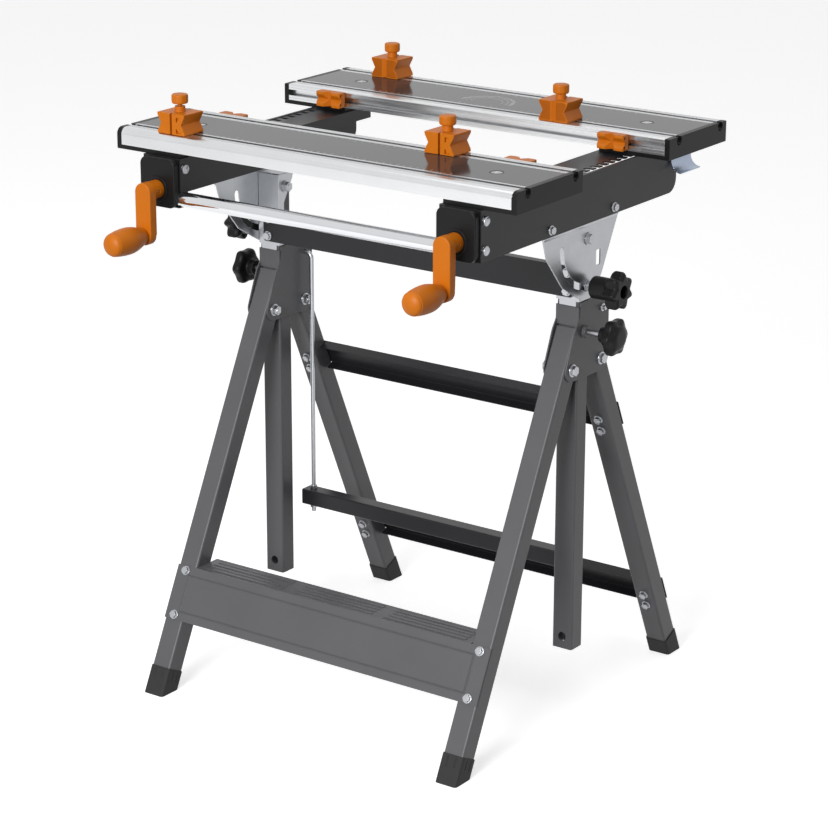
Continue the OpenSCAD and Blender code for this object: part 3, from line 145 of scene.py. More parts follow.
finishes = {
    # graphite powder coat: mid grey with a soft sheen on the edges
    "frame_paint": powderCoat("graphitePowderCoat", {
        "colour": "#58585B", "cloud": "#5F5F62", "cloudMm": 70, "peelMm": 1.4, "peelDepth": 0.25,
        "roughness": 0.36, "specular": 0.36}),
    # anthracite powder coat: nearly black, smoother than the legs
    "dark_paint": powderCoat("anthracitePowderCoat", {
        "colour": "#1D1D20", "cloud": "#232326", "cloudMm": 90, "peelMm": 1.4, "peelDepth": 0.2,
        "roughness": 0.34, "specular": 0.28}),
    # bright zinc plate: cool light grey with cloudy passivation
    "zinc": platedMetal("brightZincPlate", {
        "colour": "#A6A8AC", "blotch": "#B6B8BB", "blotchMm": 14, "lineScale": (1, 1, 1), "lineMm": 2.0,
        "lineDepth": 0.12, "roughness": 0.3}),
    # polished chrome: mirror with the faintest drawing lines
    "chrome": platedMetal("polishedChrome", {
        "colour": "#D2D3D6", "blotch": "#DADBDD", "blotchMm": 60, "lineScale": (0.02, 1, 1), "lineMm": 1.5,
        "lineDepth": 0.05, "roughness": 0.07}),
    # natural anodised extrusion: very bright, fine die lines along its length
    "jaw_aluminium": platedMetal("anodisedExtrusion", {
        "colour": "#D2D3D5", "blotch": "#DADBDC", "blotchMm": 40, "lineScale": (0.004, 1, 1), "lineMm": 2.2,
        "lineDepth": 0.05, "roughness": 0.24}),
    # glossy grey ABS inlay: a clear reflection over mid grey
    "panel": mouldedPlastic("glossyAbsInlay", {
        "colour": "#39393B", "drift": "#3E3E40", "driftMm": 90, "grainMm": 4, "grainDepth": 0.02, "ior": 1.52,
        "roughness": 0.12, "specular": 0.15}),
    # orange glass-filled nylon: warm, satin, finely grained
    "orange_plastic": mouldedPlastic("orangeNylon", {
        "colour": "#CC7008", "drift": "#C26805", "driftMm": 25, "grainMm": 0.7, "grainDepth": 0.3, "ior": 1.53,
        "roughness": 0.45, "specular": 0.25}),
    # black glass-filled nylon: soft highlight along rounded edges
    "black_plastic": mouldedPlastic("blackNylon", {
        "colour": "#111112", "drift": "#161617", "driftMm": 25, "grainMm": 0.7, "grainDepth": 0.3, "ior": 1.53,
        "roughness": 0.38, "specular": 0.15}),
    # black moulded rubber: dull, a little dusty
    "rubber": mouldedPlastic("blackRubber", {
        "colour": "#1C1C1D", "drift": "#262627", "driftMm": 12, "grainMm": 1.0, "grainDepth": 0.5, "ior": 1.5,
        "roughness": 0.72, "specular": 0.4}),
}
# blue-passivated spring steel: the cool tint of the release levers
blueZinc = platedMetal("bluePassivatedZinc", {
    "colour": "#8E9BB0", "blotch": "#A7B0BF", "blotchMm": 20, "lineScale": (1, 1, 1), "lineMm": 2.0,
    "lineDepth": 0.1, "roughness": 0.24})
# pale screen ink on the inlays
paleInk = mouldedPlastic("paleScreenInk", {
    "colour": "#DADADA", "drift": "#CCCCCC", "driftMm": 8, "grainMm": 0.6, "grainDepth": 0.1, "ior": 1.5,
    "roughness": 0.35, "specular": 0.4})
# painted shade: the same orange nylon made darker, standing in for the shade held in the cut lines
grooveShadeOrange = mouldedPlastic("grooveShadeOrangeNylon", {
    "colour": "#9C4C06", "drift": "#8E4505", "driftMm": 12, "grainMm": 0.7, "grainDepth": 0.3, "ior": 1.53,
    "roughness": 0.7, "specular": 0.15})
print("finishes made:", len(finishes) + 3)


def softenByAngle(piece, degrees):
    # smooth faces, crisp past the angle, with flat faces keeping their own normals beside a rounded edge
    work = bmesh.new()
    work.from_mesh(piece.data)
    for face in work.faces:
        face.smooth = True
    for edge in work.edges:
        edge.smooth = len(edge.link_faces) == 2 and edge.calc_face_angle(0) < math.radians(degrees)
    work.to_mesh(piece.data)
    work.free()
    weigh = piece.modifiers.new("weigh", "WEIGHTED_NORMAL")
    weigh.keep_sharp, weigh.weight, weigh.mode = True, 100, "FACE_AREA"
    graph = bpy.context.evaluated_depsgraph_get()
    mesh = bpy.data.meshes.new_from_object(piece.evaluated_get(graph), depsgraph=graph)
    piece.modifiers.clear()
    piece.data = mesh


def addPiece(name, mesh, node, slotName, finish=None, replace=True, crisp=34):
    piece = bpy.data.objects.new(name, mesh)
    bpy.context.scene.collection.objects.link(piece)
    mesh.materials.clear()
    mesh.materials.append(finish or finishes[slotName])
    softenByAngle(piece, crisp)
    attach(piece, bodyOfNode[node])
    if replace:
        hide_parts(node)
    return piece


def meshFrom(work, name, move=None, outward=True):
    bmesh.ops.remove_doubles(work, verts=work.verts, dist=0.001 * mm)
    if outward:
        bmesh.ops.recalc_face_normals(work, faces=work.faces)
    mesh = bpy.data.meshes.new(name)
    work.to_mesh(mesh)
    work.free()
    if move:
        mesh.transform(move)
    return mesh


def partBoxes(work):
    # loose parts of a mesh, each with its lowest and highest corner
    left, parts = set(work.verts), []
    while left:
        seed = left.pop()
        group, queue = [seed], [seed]
        while queue:
            for edge in queue.pop().link_edges:
                for v in edge.verts:
                    if v in left:
                        left.discard(v)
                        group.append(v)
                        queue.append(v)
        corners = [Vector([pick(v.co[i] for v in group) for i in range(3)]) for pick in (min, max)]
        parts.append((group, *corners))
    return parts


# lengths in mm and angles in degrees: points closer than merge become one, faces that turn less than flat become one,
# edges that turn more than sharp are eased, and the copy stays inside its node's box but for slack
easing = {"merge": 0.002, "slack": 0.02, "least": 0.05, "halvedTo": 0.15, "flat": 0.6, "sharp": 32}


def easedCopy(node, easeMm, segments=2, keep=None, where=None):
    # a merged copy of a CAD node's mesh with its sharp edges rounded; keep chooses loose parts by their box, where chooses edges
    low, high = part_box(node)
    slack = easing["slack"] * mm
    while True:
        work = bmesh.new()
        work.from_mesh(cadNodes[node].data)
        bmesh.ops.remove_doubles(work, verts=work.verts, dist=easing["merge"] * mm)
        if keep:
            for group, partLow, partHigh in partBoxes(work):
                if not keep(partLow / mm, partHigh / mm):
                    bmesh.ops.delete(work, geom=group, context="VERTS")
        bmesh.ops.dissolve_limit(work, angle_limit=math.radians(easing["flat"]), verts=work.verts, edges=work.edges)
        if easeMm:
            sharp = [e for e in work.edges if len(e.link_faces) == 2 and e.calc_face_angle(0) > math.radians(easing["sharp"])
                     and (not where or all(where(v.co / mm) for v in e.verts))]
            bmesh.ops.bevel(work, geom=sharp, offset=easeMm * mm, offset_type="OFFSET", segments=segments,
                            profile=0.5, affect="EDGES", clamp_overlap=False)
        inside = all(low[i] - slack < v.co[i] < high[i] + slack for v in work.verts for i in range(3))
        if inside or easeMm < easing["least"]:
            break
        easeMm = easeMm / 2 if easeMm > easing["halvedTo"] else 0
        work.free()
        print("  smaller ease on", node, round(easeMm, 2))
    mesh = bpy.data.meshes.new("eased_" + node)
    work.to_mesh(mesh)
    work.free()
    return mesh


def filleted(points, steps=5):
    # a profile of (radius, height, fillet) corners with each corner rounded
    line = []
    for k, (r, h, fillet) in enumerate(points):
        here = Vector((r, h))
        if not fillet or k in (0, len(points) - 1):
            line.append(here)
            continue
        back, ahead = Vector(points[k - 1][:2]) - here, Vector(points[k + 1][:2]) - here
        start = here + back.normalized() * min(fillet, back.length / 2)
        stop = here + ahead.normalized() * min(fillet, ahead.length / 2)
        for s in range(steps + 1):
            t = s / steps
            line.append(start * (1 - t) ** 2 + here * 2 * t * (1 - t) + stop * t ** 2)
    return line


# how far in a knob's lobes take to reach their full depth, in mm, and how round the hollows between them are
lobeLook = {"blend": 4, "power": 0.8}


def turned(profile, steps=48, lobes=0, depth=0.0, lobeFrom=0.0):
    # a profile of (radius, height) turned round Z, in mm; lobes scallop the rim where the radius is past lobeFrom
    work = bmesh.new()
    rings = []
    for r, h in profile:
        share = min(1, max(0, (r - lobeFrom) / lobeLook["blend"])) if lobes else 0
        if r < 1e-6:
            rings.append([work.verts.new((0, 0, h * mm))])
            continue
        ring = []
        for k in range(steps):
            angle = 2 * math.pi * k / steps
            reach = r - share * depth * (0.5 - 0.5 * math.cos(lobes * angle)) ** lobeLook["power"]
            ring.append(work.verts.new((reach * math.cos(angle) * mm, reach * math.sin(angle) * mm, h * mm)))
        rings.append(ring)
    for a, b in zip(rings, rings[1:]):
        for k in range(steps):
            quad = [a[k % len(a)], a[(k + 1) % len(a)], b[(k + 1) % len(b)], b[k % len(b)]]
            corners = list(dict.fromkeys(quad))
            if len(corners) > 2:
                work.faces.new(corners)
    for ring in (rings[0], rings[-1]):
        if len(ring) > 2:
            work.faces.new(ring)
    return work


def newTree(name, wanted):
    # a Geometry Nodes tree with the wanted inputs and one for the material
    tree = bpy.data.node_groups.new(name, "GeometryNodeTree")
    tree.interface.new_socket(name="Geometry", in_out="OUTPUT", socket_type="NodeSocketGeometry")
    tree.interface.new_socket(name="Geometry", in_out="INPUT", socket_type="NodeSocketGeometry")
    for label, kind in wanted.items():
        tree.interface.new_socket(name=label, in_out="INPUT", socket_type="NodeSocket" + kind)
    tree.interface.new_socket(name="Finish", in_out="INPUT", socket_type="NodeSocketMaterial")
    return tree, addNode(tree, "NodeGroupInput").outputs


def closeTree(tree, shape, inputs):
    # ends a tree: its instances made real, and its material set
    whole = addNode(tree, "GeometryNodeRealizeInstances", i0=shape)
    painted = addNode(tree, "GeometryNodeSetMaterial", i0=whole.outputs[0], Material=inputs["Finish"])
    addNode(tree, "NodeGroupOutput", i0=painted.outputs[0])


def grown(tree, sizes, finish, start=None):
    # the plain mesh that a tree makes from its sizes
    holder = bpy.data.objects.new("holder", start or bpy.data.meshes.new("start"))
    bpy.context.scene.collection.objects.link(holder)
    grow = holder.modifiers.new("grow", "NODES")
    grow.node_group = tree
    for item in tree.interface.items_tree:
        if item.in_out == "INPUT" and item.name in sizes:
            grow[item.identifier] = sizes[item.name]
        elif item.in_out == "INPUT" and item.name == "Finish":
            grow[item.identifier] = finish
    graph = bpy.context.evaluated_depsgraph_get()
    mesh = bpy.data.meshes.new_from_object(holder.evaluated_get(graph), depsgraph=graph)
    bpy.data.objects.remove(holder)
    return mesh


def carved(mesh, cutter):
    # mesh with the cutter's shape taken out of it
    body = bpy.data.objects.new("carveBody", mesh)
    tool = bpy.data.objects.new("carveTool", cutter)
    for item in (body, tool):
        bpy.context.scene.collection.objects.link(item)
    cut = body.modifiers.new("cut", "BOOLEAN")
    cut.object, cut.operation, cut.solver = tool, "DIFFERENCE", "EXACT"
    graph = bpy.context.evaluated_depsgraph_get()
    result = bpy.data.meshes.new_from_object(body.evaluated_get(graph), depsgraph=graph)
    for item in (body, tool):
        bpy.data.objects.remove(item)
    return result


def prisms(shapes):
    # closed prisms in mm: each is (corners, along), swept by the vector along
    work = bmesh.new()
    for corners, along in shapes:
        low = [work.verts.new(Vector(c) * mm) for c in corners]
        high = [work.verts.new((Vector(c) + Vector(along)) * mm) for c in corners]
        work.faces.new(low)
        work.faces.new(high)
        for k in range(len(low)):
            work.faces.new([low[k], low[(k + 1) % len(low)], high[(k + 1) % len(low)], high[k]])
    return work


def slab(x0, x1, y0, y1, z0, z1):
    return [(x0, y0, z0), (x1, y0, z0), (x1, y1, z0), (x0, y1, z0)], (0, 0, z1 - z0)


shift = 36.679  # the posts' axis lies this far back of the frame's middle, in mm


def at(x, y, z, axis=(0, 0, 1), spin=0.0):
    # place for a turned piece: its Z along axis, at a point given from the posts' axis, in mm
    turn = Vector((0, 0, 1)).rotation_difference(Vector(axis)).to_matrix().to_4x4()
    return Matrix.Translation(Vector((x, y + shift, z)) * mm) @ turn @ Matrix.Rotation(spin, 4, "Z")


sides = ((-1, "left"), (1, "right"))
jawTop, jawWidth = 761, 145
jawFront = {"front_jaw": -239.5, "rear_jaw": 110.5}
jawFace = {"front_jaw": jawFront["front_jaw"] + jawWidth, "rear_jaw": jawFront["rear_jaw"]}  # the faces that grip
slotIn = {"front": 24, "rear": 129}  # the middles of a jaw's two slots, back from its front
crank = {"x": 230.5, "hubZ": 693, "throw": 56}

# nodes whose CAD shape stands, with their edges eased as the real part's are
easedNodes = {
    "frame_paint": {"head_bracket_left": 0.5, "head_bracket_right": 0.5, "front_leg_left": 0, "front_leg_right": 0,
                    "rear_leg_left": 0, "rear_leg_right": 0, "post_left": 0, "post_right": 0},
    "dark_paint": {"rear_crossbar_upper": 0.5, "rear_crossbar_lower": 0.5, "hanging_bar": 0.6, "post_crossbar": 0.5,
                   "rail_left": 0.5, "rail_right": 0.5},
    "zinc": {"leg_pivot_bolts": 0.5, "front_step_bolts": 0.5, "rear_crossbar_bolts": 0.5, "post_bolts": 0.5,
             "top_fasteners": 0.5, "hanging_rods": 0.3, "tilt_plate_left": 0.4, "tilt_plate_right": 0.4,
             "post_bracket_left": 0.4, "post_bracket_right": 0.4, "lead_screw_left": 0.3, "lead_screw_right": 0.3},
    "chrome": {"handle_bar": 0.3},
    "panel": {"front_jaw_panel": 0.2, "rear_jaw_panel": 0.2},
    "rubber": {"rear_feet": 0.8},
}
for slotName, group in easedNodes.items():
    for node, ease in group.items():
        addPiece("eased_" + node, easedCopy(node, ease), node, slotName)
print("eased nodes:", sum(len(group) for group in easedNodes.values()))

leverEase = 0.3
housingNose = {"ease": 1.6, "back": -252.5}  # only the edges of the nose plate
for side, word in sides:
    addPiece("lever_plate_" + word, easedCopy("release_lever_" + word, leverEase), "release_lever_" + word, "zinc", blueZinc)
    addPiece("housing_" + word, easedCopy("screw_housing_" + word, housingNose["ease"], segments=3,
                                          where=lambda v: v.y < shift + housingNose["back"]),
             "screw_housing_" + word, "black_plastic")

# the arm's front face all round, and its back edges below the hub
crankArm = {"ease": 1.5, "front": -282, "back": -269.6, "hubLow": 678}


def onCrankArm(v):
    return v.y < shift + crankArm["front"] or (v.z < crankArm["hubLow"] and v.y < shift + crankArm["back"])


for side, word in sides:
    addPiece("crank_arm_" + word, easedCopy("crank_" + word, crankArm["ease"], segments=3, where=onCrankArm),
             "crank_" + word, "orange_plastic")
print("levers, housings and cranks eased")

# the front legs lean from their pivot so that their middle lines meet the floor at reach ahead of the posts' axis
frontLeg = {"reach": 263.6, "pivotY": -27.8, "pivotZ": 482, "half": 14, "sole": 6, "stepShare": 0.6802}
legLean = math.atan2(frontLeg["reach"] + frontLeg["pivotY"], frontLeg["pivotZ"])
legLong = round((frontLeg["pivotZ"] - frontLeg["sole"] - frontLeg["half"] * math.tan(legLean)) / math.cos(legLean), 2)
stepPanel = {"drop": round(frontLeg["stepShare"] * frontLeg["pivotZ"] / math.cos(legLean), 3), "high": 74, "front": -15.6}


def leaned(points, angle, y=0, z=0):
    c, s = math.cos(angle), math.sin(angle)
    return [(px, y + py * c - pz * s, z + py * s + pz * c) for px, py, pz in points]


def onLeg(points):
    return [(px, py + shift, pz) for px, py, pz in leaned(points, -legLean, frontLeg["pivotY"], frontLeg["pivotZ"])]


def onTread(points):
    # the tread lies level, back from the step panel's top edge
    return onLeg([(px, py + stepPanel["front"], pz - stepPanel["drop"]) for px, py, pz in leaned(points, legLean)])


def wedgeCuts(lines, onto):
    # V cuts, each (start, end, half width, depth) in mm, put in place by onto; they begin a share of their depth above the face
    shapes, above = [], 0.02
    for line in lines:
        start, end, across, into = [Vector(part) for part in line]
        corners = [start - across - into * above, start + across - into * above, start + into, end + into]
        placed = onto([tuple(c) for c in corners])
        shapes.append((placed[:3], Vector(placed[3]) - Vector(placed[2])))
    return meshFrom(prisms(shapes), "lines")


# the border pressed into the step's panel; its lines run a little past their crossings
pressed = {"halfX": 232, "inZ": 12, "wide": 3.8, "deep": 1.35, "pastX": 0.7, "pastZ": 0.3}
low = -stepPanel["drop"] - stepPanel["high"] + pressed["inZ"]
high = -stepPanel["drop"] - pressed["inZ"]
face, halfWide, reach = stepPanel["front"], pressed["wide"] / 2, pressed["halfX"] + pressed["pastX"]
level = [((-reach, face, z), (reach, face, z), (0, 0, halfWide), (0, pressed["deep"], 0)) for z in (low, high)]
upright = [((side * pressed["halfX"], face, low - pressed["pastZ"]), (side * pressed["halfX"], face, high + pressed["pastZ"]),
            (halfWide, 0, 0), (0, pressed["deep"], 0)) for side in (-1, 1)]

# three groups of lines between the tread's ribs
tread = {"half": 223.5, "end": 12, "gap": 20, "groups": 3, "pitch": 8.6, "lines": 5, "wide": 4.4, "deep": 0.9}
groupLong = (2 * tread["half"] - 2 * tread["end"] - (tread["groups"] - 1) * tread["gap"]) / tread["groups"]
treadLines = []
for group in range(tread["groups"]):
    x = -tread["half"] + tread["end"] + group * (groupLong + tread["gap"])
    for k in range(tread["lines"]):
        y = tread["pitch"] * (k + 0.5)
        treadLines.append(((x, y, 0), (x + groupLong, y, 0), (0, tread["wide"] / 2, 0), (0, 0, -tread["deep"])))
stepMesh = easedCopy("front_step", 0)
for lines, onto in ((level, onLeg), (upright, onLeg), (treadLines, onTread)):
    stepMesh = carved(stepMesh, wedgeCuts(lines, onto))
addPiece("pressed_step", stepMesh, "front_step", "frame_paint")

# grooves round the front feet, from past their soles up to rise above the leg's end
footCap = {"x": 239, "half": 16.45, "front": -15.45, "low": -520, "rise": 15.5, "frontLines": (-6, 6), "sideLines": (-5, 5),
           "wide": 2.4, "deep": 0.8, "ease": 0.8}
footLow, footHigh = footCap["low"], footCap["rise"] - legLong
footLines = []
for side in (-1, 1):
    for u in footCap["frontLines"]:
        x = side * footCap["x"] + u
        footLines.append(((x, footCap["front"], footLow), (x, footCap["front"], footHigh),
                          (footCap["wide"] / 2, 0, 0), (0, footCap["deep"], 0)))
    for out in (-1, 1):
        x = side * footCap["x"] + out * footCap["half"]
        for y in footCap["sideLines"]:
            footLines.append(((x, y, footLow), (x, y, footHigh),
                              (0, footCap["wide"] / 2, 0), (-out * footCap["deep"], 0, 0)))
feetMesh = carved(easedCopy("front_feet", footCap["ease"]), wedgeCuts(footLines, onLeg))
addPiece("ribbed_front_feet", feetMesh, "front_feet", "rubber")
print("step and feet lined")

# the die leaves fine grooves along both sides of the slots and down the faces
jawLines = {"top": (11.5, 14.5, 17.5, 30.2, 119.8, 122.4, 135.8, 138.6, 141.6), "face": (3.2, 17.6), "width": 0.7, "depth": 0.45,
            "half": 302, "lowZ": 739, "above": 1, "ease": 0.15}
for jaw, front in jawFront.items():
    halfWide, deep, half = jawLines["width"] / 2, jawLines["depth"], jawLines["half"]
    shapes = [slab(-half, half, front + y - halfWide + shift, front + y + halfWide + shift, jawTop - deep, jawTop + jawLines["above"])
              for y in jawLines["top"]]
    faceY = jawFace[jaw] + shift
    shapes += [slab(-half, half, faceY - deep, faceY + deep, jawLines["lowZ"] + z - halfWide, jawLines["lowZ"] + z + halfWide)
               for z in jawLines["face"]]
    mesh = carved(easedCopy(jaw, jawLines["ease"]), meshFrom(prisms(shapes), "grooves"))
    addPiece(jaw + "_extrusion", mesh, jaw, "jaw_aluminium", crisp=30)
print("jaws grooved")

# the caps node also holds the small round plugs, which are made below
capEase, capLeastX = 0.35, 25
for jaw in jawFront:
    addPiece(jaw + "_end_caps", easedCopy(jaw + "_caps", capEase, keep=lambda low, high: high.x - low.x > capLeastX),
             jaw + "_caps", "black_plastic")

plug = {"x": 230, "in": 74, "radius": 9, "rim": 1.7, "depth": 3.2, "gap": 0.1, "ringFillet": 0.3, "dip": (0.55, 0.5, 0.44, 0.4),
        "dipDeep": 0.65}
for jaw, front in jawFront.items():
    for side, word in sides:
        place = at(side * plug["x"], front + plug["in"], jawTop - plug["depth"])
        r, inner, deep, fillet = plug["radius"], plug["radius"] - plug["rim"], plug["depth"], plug["ringFillet"]
        ring = turned(filleted([(inner, 0, 0), (r, 0, 0), (r, deep, fillet), (inner, deep, fillet), (inner, 0, 0)]))
        addPiece(jaw + "_plug_ring_" + word, meshFrom(ring, "plugRing", place), jaw + "_caps", "black_plastic")
        edge, bottom = inner - plug["gap"], deep - plug["dipDeep"]
        dip = [r * share for share in plug["dip"]]
        disc = turned(filleted([(0, 0, 0), (edge, 0, 0), (edge, deep - 0.3, 0.4), (dip[0], deep - 0.25, 0.1), (dip[1], bottom, 0.1),
                                (dip[2], bottom, 0.1), (dip[3], deep - 0.2, 0.1), (0, deep - 0.1, 0)]))
        addPiece(jaw + "_plug_disc_" + word, meshFrom(disc, "plugDisc", place), jaw + "_caps", "zinc")
print("jaw caps and plugs done")

# barrel grips: narrow neck, full barrel, a crisp ring and a domed end
grip = {"length": 65, "radius": 17.5, "neck": 9.8, "tip": 15.0, "dome": 7.6, "ring": 0.6, "bore": 3.55, "boreDepth": 55,
        "foot": 1.4, "fullest": 0.55, "lip": 0.5, "barrelSteps": 24, "domeSteps": 10, "steps": 64, "y": -282.9}


def gripProfile():
    g = grip
    barrel = g["length"] - g["dome"]
    line = [(0, g["boreDepth"]), (g["bore"], g["boreDepth"]), (g["bore"], 0), (g["neck"] - 1.2, 0), (g["neck"] - 0.3, 0.4),
            (g["neck"], g["foot"])]
    for k in range(1, g["barrelSteps"] + 1):
        u = k / g["barrelSteps"]
        rise, fall = min(1, u / g["fullest"]), max(0, (u - g["fullest"]) / (1 - g["fullest"]))
        swell = (g["radius"] - g["neck"]) * math.sin(math.pi / 2 * rise) - (g["radius"] - g["tip"]) * fall ** 2
        line.append((g["neck"] + swell, g["foot"] + u * (barrel - g["foot"])))
    line += [(g["tip"] - 0.1, barrel + 0.35), (g["tip"] - g["ring"], barrel + g["lip"])]
    for k in range(1, g["domeSteps"]):
        u = k / g["domeSteps"] * math.pi / 2
        line.append(((g["tip"] - g["ring"]) * math.cos(u), barrel + g["lip"] + (g["dome"] - g["lip"]) * math.sin(u)))
    return line + [(0, g["length"])]


for side, word in sides:
    place = at(side * crank["x"], grip["y"], crank["hubZ"] - crank["throw"], (0, -1, 0))
    mesh = meshFrom(turned(gripProfile(), grip["steps"]), "grip", place)
    addPiece("barrel_grip_" + word, mesh, "crank_grip_" + word, "orange_plastic", crisp=28)
print("grips done")

# star knobs on the tilt studs: a long hub, seven lobes and a hollow eye
tiltStud = {"x": 242, "z": 587.5, "radius": 4, "long": 31, "collar": 8, "collarFrom": 16.6, "collarTo": 17.8,
            "nutX": 259.9, "nutRadius": 6.6, "nutHigh": 4.5}
star = {"x": 265.6, "foot": 9, "hubRadius": 14.5, "hub": 27, "radius": 25, "thick": 20, "lobes": 7, "depth": 6.5, "lobeFrom": 16,
        "eye": 7.5, "eyeDeep": 12, "spin": 0.3, "steps": 112}


def starProfile():
    s = star
    hub, top, shoulder, eyeLow = s["hub"], s["hub"] + s["thick"], s["radius"] - 4, s["hub"] + s["thick"] - s["eyeDeep"]
    return filleted([(0, 0, 0), (s["foot"], 0, 0.5), (s["hubRadius"], 3, 2), (s["hubRadius"], hub, 1), (shoulder, hub, 1.5),
                     (s["radius"], hub + 4, 3), (s["radius"], top - 3, 2.5), (shoulder, top, 2), (s["eye"] + 1, top, 1),
                     (s["eye"], eyeLow, 1), (0, eyeLow, 0)])


for side, word in sides:
    t, outward = tiltStud, (side, 0, 0)
    stud = turned(filleted([(0, 0, 0), (t["radius"], 0, 0), (t["radius"], t["collarFrom"], 0), (t["collar"], t["collarFrom"], 0.2),
                            (t["collar"], t["collarTo"], 0.2), (t["radius"], t["collarTo"], 0), (t["radius"], t["long"], 0),
                            (0, t["long"], 0)]))
    addPiece("tilt_stud_" + word, meshFrom(stud, "stud", at(side * t["x"], 0, t["z"], outward)), "tilt_knob_" + word, "zinc")
    nut = turned(filleted([(0, 0, 0), (t["nutRadius"], 0, 0.4), (t["nutRadius"], t["nutHigh"], 0.6), (0, t["nutHigh"], 0)]), 6)
    addPiece("tilt_nut_" + word, meshFrom(nut, "nut", at(side * t["nutX"], 0, t["z"], outward)), "tilt_knob_" + word, "zinc", crisp=20)
    head = turned(starProfile(), star["steps"], star["lobes"], star["depth"], star["lobeFrom"])
    addPiece("tilt_star_" + word, meshFrom(head, "star", at(side * star["x"], 0, t["z"], outward, star["spin"])),
             "tilt_knob_" + word, "black_plastic", crisp=40)
print("star knobs done")

# height knobs: a plated stud and a flat six-lobed head with a low crown; the right one is screwed out further
heightKnob = {"seat": 254.2, "hubX": {"left": 273.2, "right": 281.2}, "z": 527, "stud": 4, "bore": 4.2, "boreDeep": 2,
              "hubRadius": 10, "hubLong": 11, "radius": 25, "thick": 14, "crown": 4.4, "lobes": 6, "depth": 3.2, "lobeFrom": 15,
              "spin": 0.5, "steps": 96, "studSteps": 32}


def heightProfile():
    k = heightKnob
    hub, top, r = k["hubLong"], k["hubLong"] + k["thick"], k["radius"]
    return filleted([(k["bore"], k["boreDeep"], 0), (k["bore"], 0, 0), (k["hubRadius"], 0, 1), (k["hubRadius"], hub, 3),
                     (r - 3, hub + 1, 2), (r, hub + 4, 3), (r, top - 1, 3), (r * 0.8, top, 4), (r * 0.5, top + k["crown"], 4),
                     (0, top + k["crown"], 0)])


for side, word in sides:
    k, outward = heightKnob, (side, 0, 0)
    studLong = k["hubX"][word] - k["seat"] + k["boreDeep"]
    stud = turned([(0, 0), (k["stud"], 0), (k["stud"], studLong), (0, studLong)], k["studSteps"])
    mesh = meshFrom(stud, "heightStud", at(side * k["seat"], 0, k["z"], outward))
    addPiece("height_stud_" + word, mesh, "height_knob_" + word, "zinc")
    head = turned(heightProfile(), k["steps"], k["lobes"], k["depth"], k["lobeFrom"])
    addPiece("height_knob_head_" + word, meshFrom(head, "heightHead", at(side * k["hubX"][word], 0, k["z"], outward, k["spin"])),
             "height_knob_" + word, "black_plastic", crisp=40)
print("height knobs done")

# lines at 45 degrees, cut to the outline of a dog's working face
hatch, inputs = newTree("hatchedFace", {"Count": "Int", "Pitch": "Float", "Width": "Float", "Thick": "Float", "Length": "Float"})
step = addNode(hatch, "ShaderNodeCombineXYZ", X=inputs["Pitch"])
span = addNode(hatch, "ShaderNodeMath", {"operation": "MULTIPLY"}, i0=inputs["Count"], i1=inputs["Pitch"])
half = addNode(hatch, "ShaderNodeMath", {"operation": "MULTIPLY"}, i0=span.outputs[0], i1=-0.5)
first = addNode(hatch, "ShaderNodeCombineXYZ", X=half.outputs[0])
row = addNode(hatch, "GeometryNodeMeshLine", Count=inputs["Count"], Start_Location=first.outputs[0], Offset=step.outputs[0])
size = addNode(hatch, "ShaderNodeCombineXYZ", X=inputs["Width"], Y=inputs["Thick"], Z=inputs["Length"])
bar = addNode(hatch, "GeometryNodeMeshCube", Size=size.outputs[0])
field = addNode(hatch, "GeometryNodeInstanceOnPoints", Points=row.outputs[0], Instance=bar.outputs[0],
                Rotation=(0, math.radians(45), 0))
whole = addNode(hatch, "GeometryNodeRealizeInstances", i0=field.outputs[0])
trim = addNode(hatch, "GeometryNodeMeshBoolean", {"operation": "INTERSECT"}, i1=whole.outputs[0])
hatch.links.new(inputs["Geometry"], trim.inputs[1])
closeTree(hatch, trim.outputs[0], inputs)

dogSpots = {"front_left": (-221, jawFront["front_jaw"] + slotIn["front"]),
            "front_right": (120, jawFront["front_jaw"] + slotIn["rear"]),
            "rear_left": (-217, jawFront["rear_jaw"] + slotIn["rear"]),
            "rear_right": (129, jawFront["rear_jaw"] + slotIn["front"])}
dogBase = jawTop + 0.2
dogBlock = {"half": 22, "deep": 19, "high": 27, "vee": 3.5, "sideVee": 5.5, "groove": 10.3, "ease": 0.6}
hatchLook = {"count": 30, "pitch": 2.8, "width": 1.3, "long": 120, "deep": 0.9, "fill": 0.5,
             "rim": 1.0, "lip": 1.2, "besideVee": 0.8, "besideGroove": 0.5}
pocketLook = {"deep": 3, "behind": 1, "corners": (((8.5, 22.7), (16, 22.7), (8.5, 15.7)), ((8.5, 8.3), (8.5, 1.9), (16.5, 2.5)))}


def hatchLines(thick, place):
    # lines on both halves of the working face, from the bottom of the cut outwards
    d, h = dogBlock, hatchLook
    outlines = []
    for side in (-1, 1):
        edge, near = side * (d["half"] - h["rim"]), side * (d["vee"] + h["besideVee"])
        low, high, mid, gap = h["lip"], d["high"] - h["lip"], d["high"] / 2, d["groove"] + h["besideGroove"]
        corners = [(near, low), (edge, low), (edge, mid - gap), (side * (d["half"] - d["sideVee"] - h["rim"]), mid),
                   (edge, mid + gap), (edge, high), (near, high)]
        outlines.append(([(u, -h["deep"], w) for u, w in corners], (0, thick, 0)))
    sizes = {"Count": h["count"], "Pitch": h["pitch"] * mm, "Width": h["width"] * mm, "Thick": 4 * h["deep"] * mm,
             "Length": h["long"] * mm}
    mesh = grown(hatch, sizes, finishes["orange_plastic"], meshFrom(prisms(outlines), "faceOutline"))
    mesh.transform(place)
    return mesh


def backPockets(x, y, facing):
    start = y + shift - facing * (dogBlock["deep"] + pocketLook["behind"])
    along = (0, facing * (pocketLook["deep"] + pocketLook["behind"]), 0)
    return meshFrom(prisms([([(x + facing * u, start, dogBase + w) for u, w in corners], along) for corners in pocketLook["corners"]]),
                    "pockets")


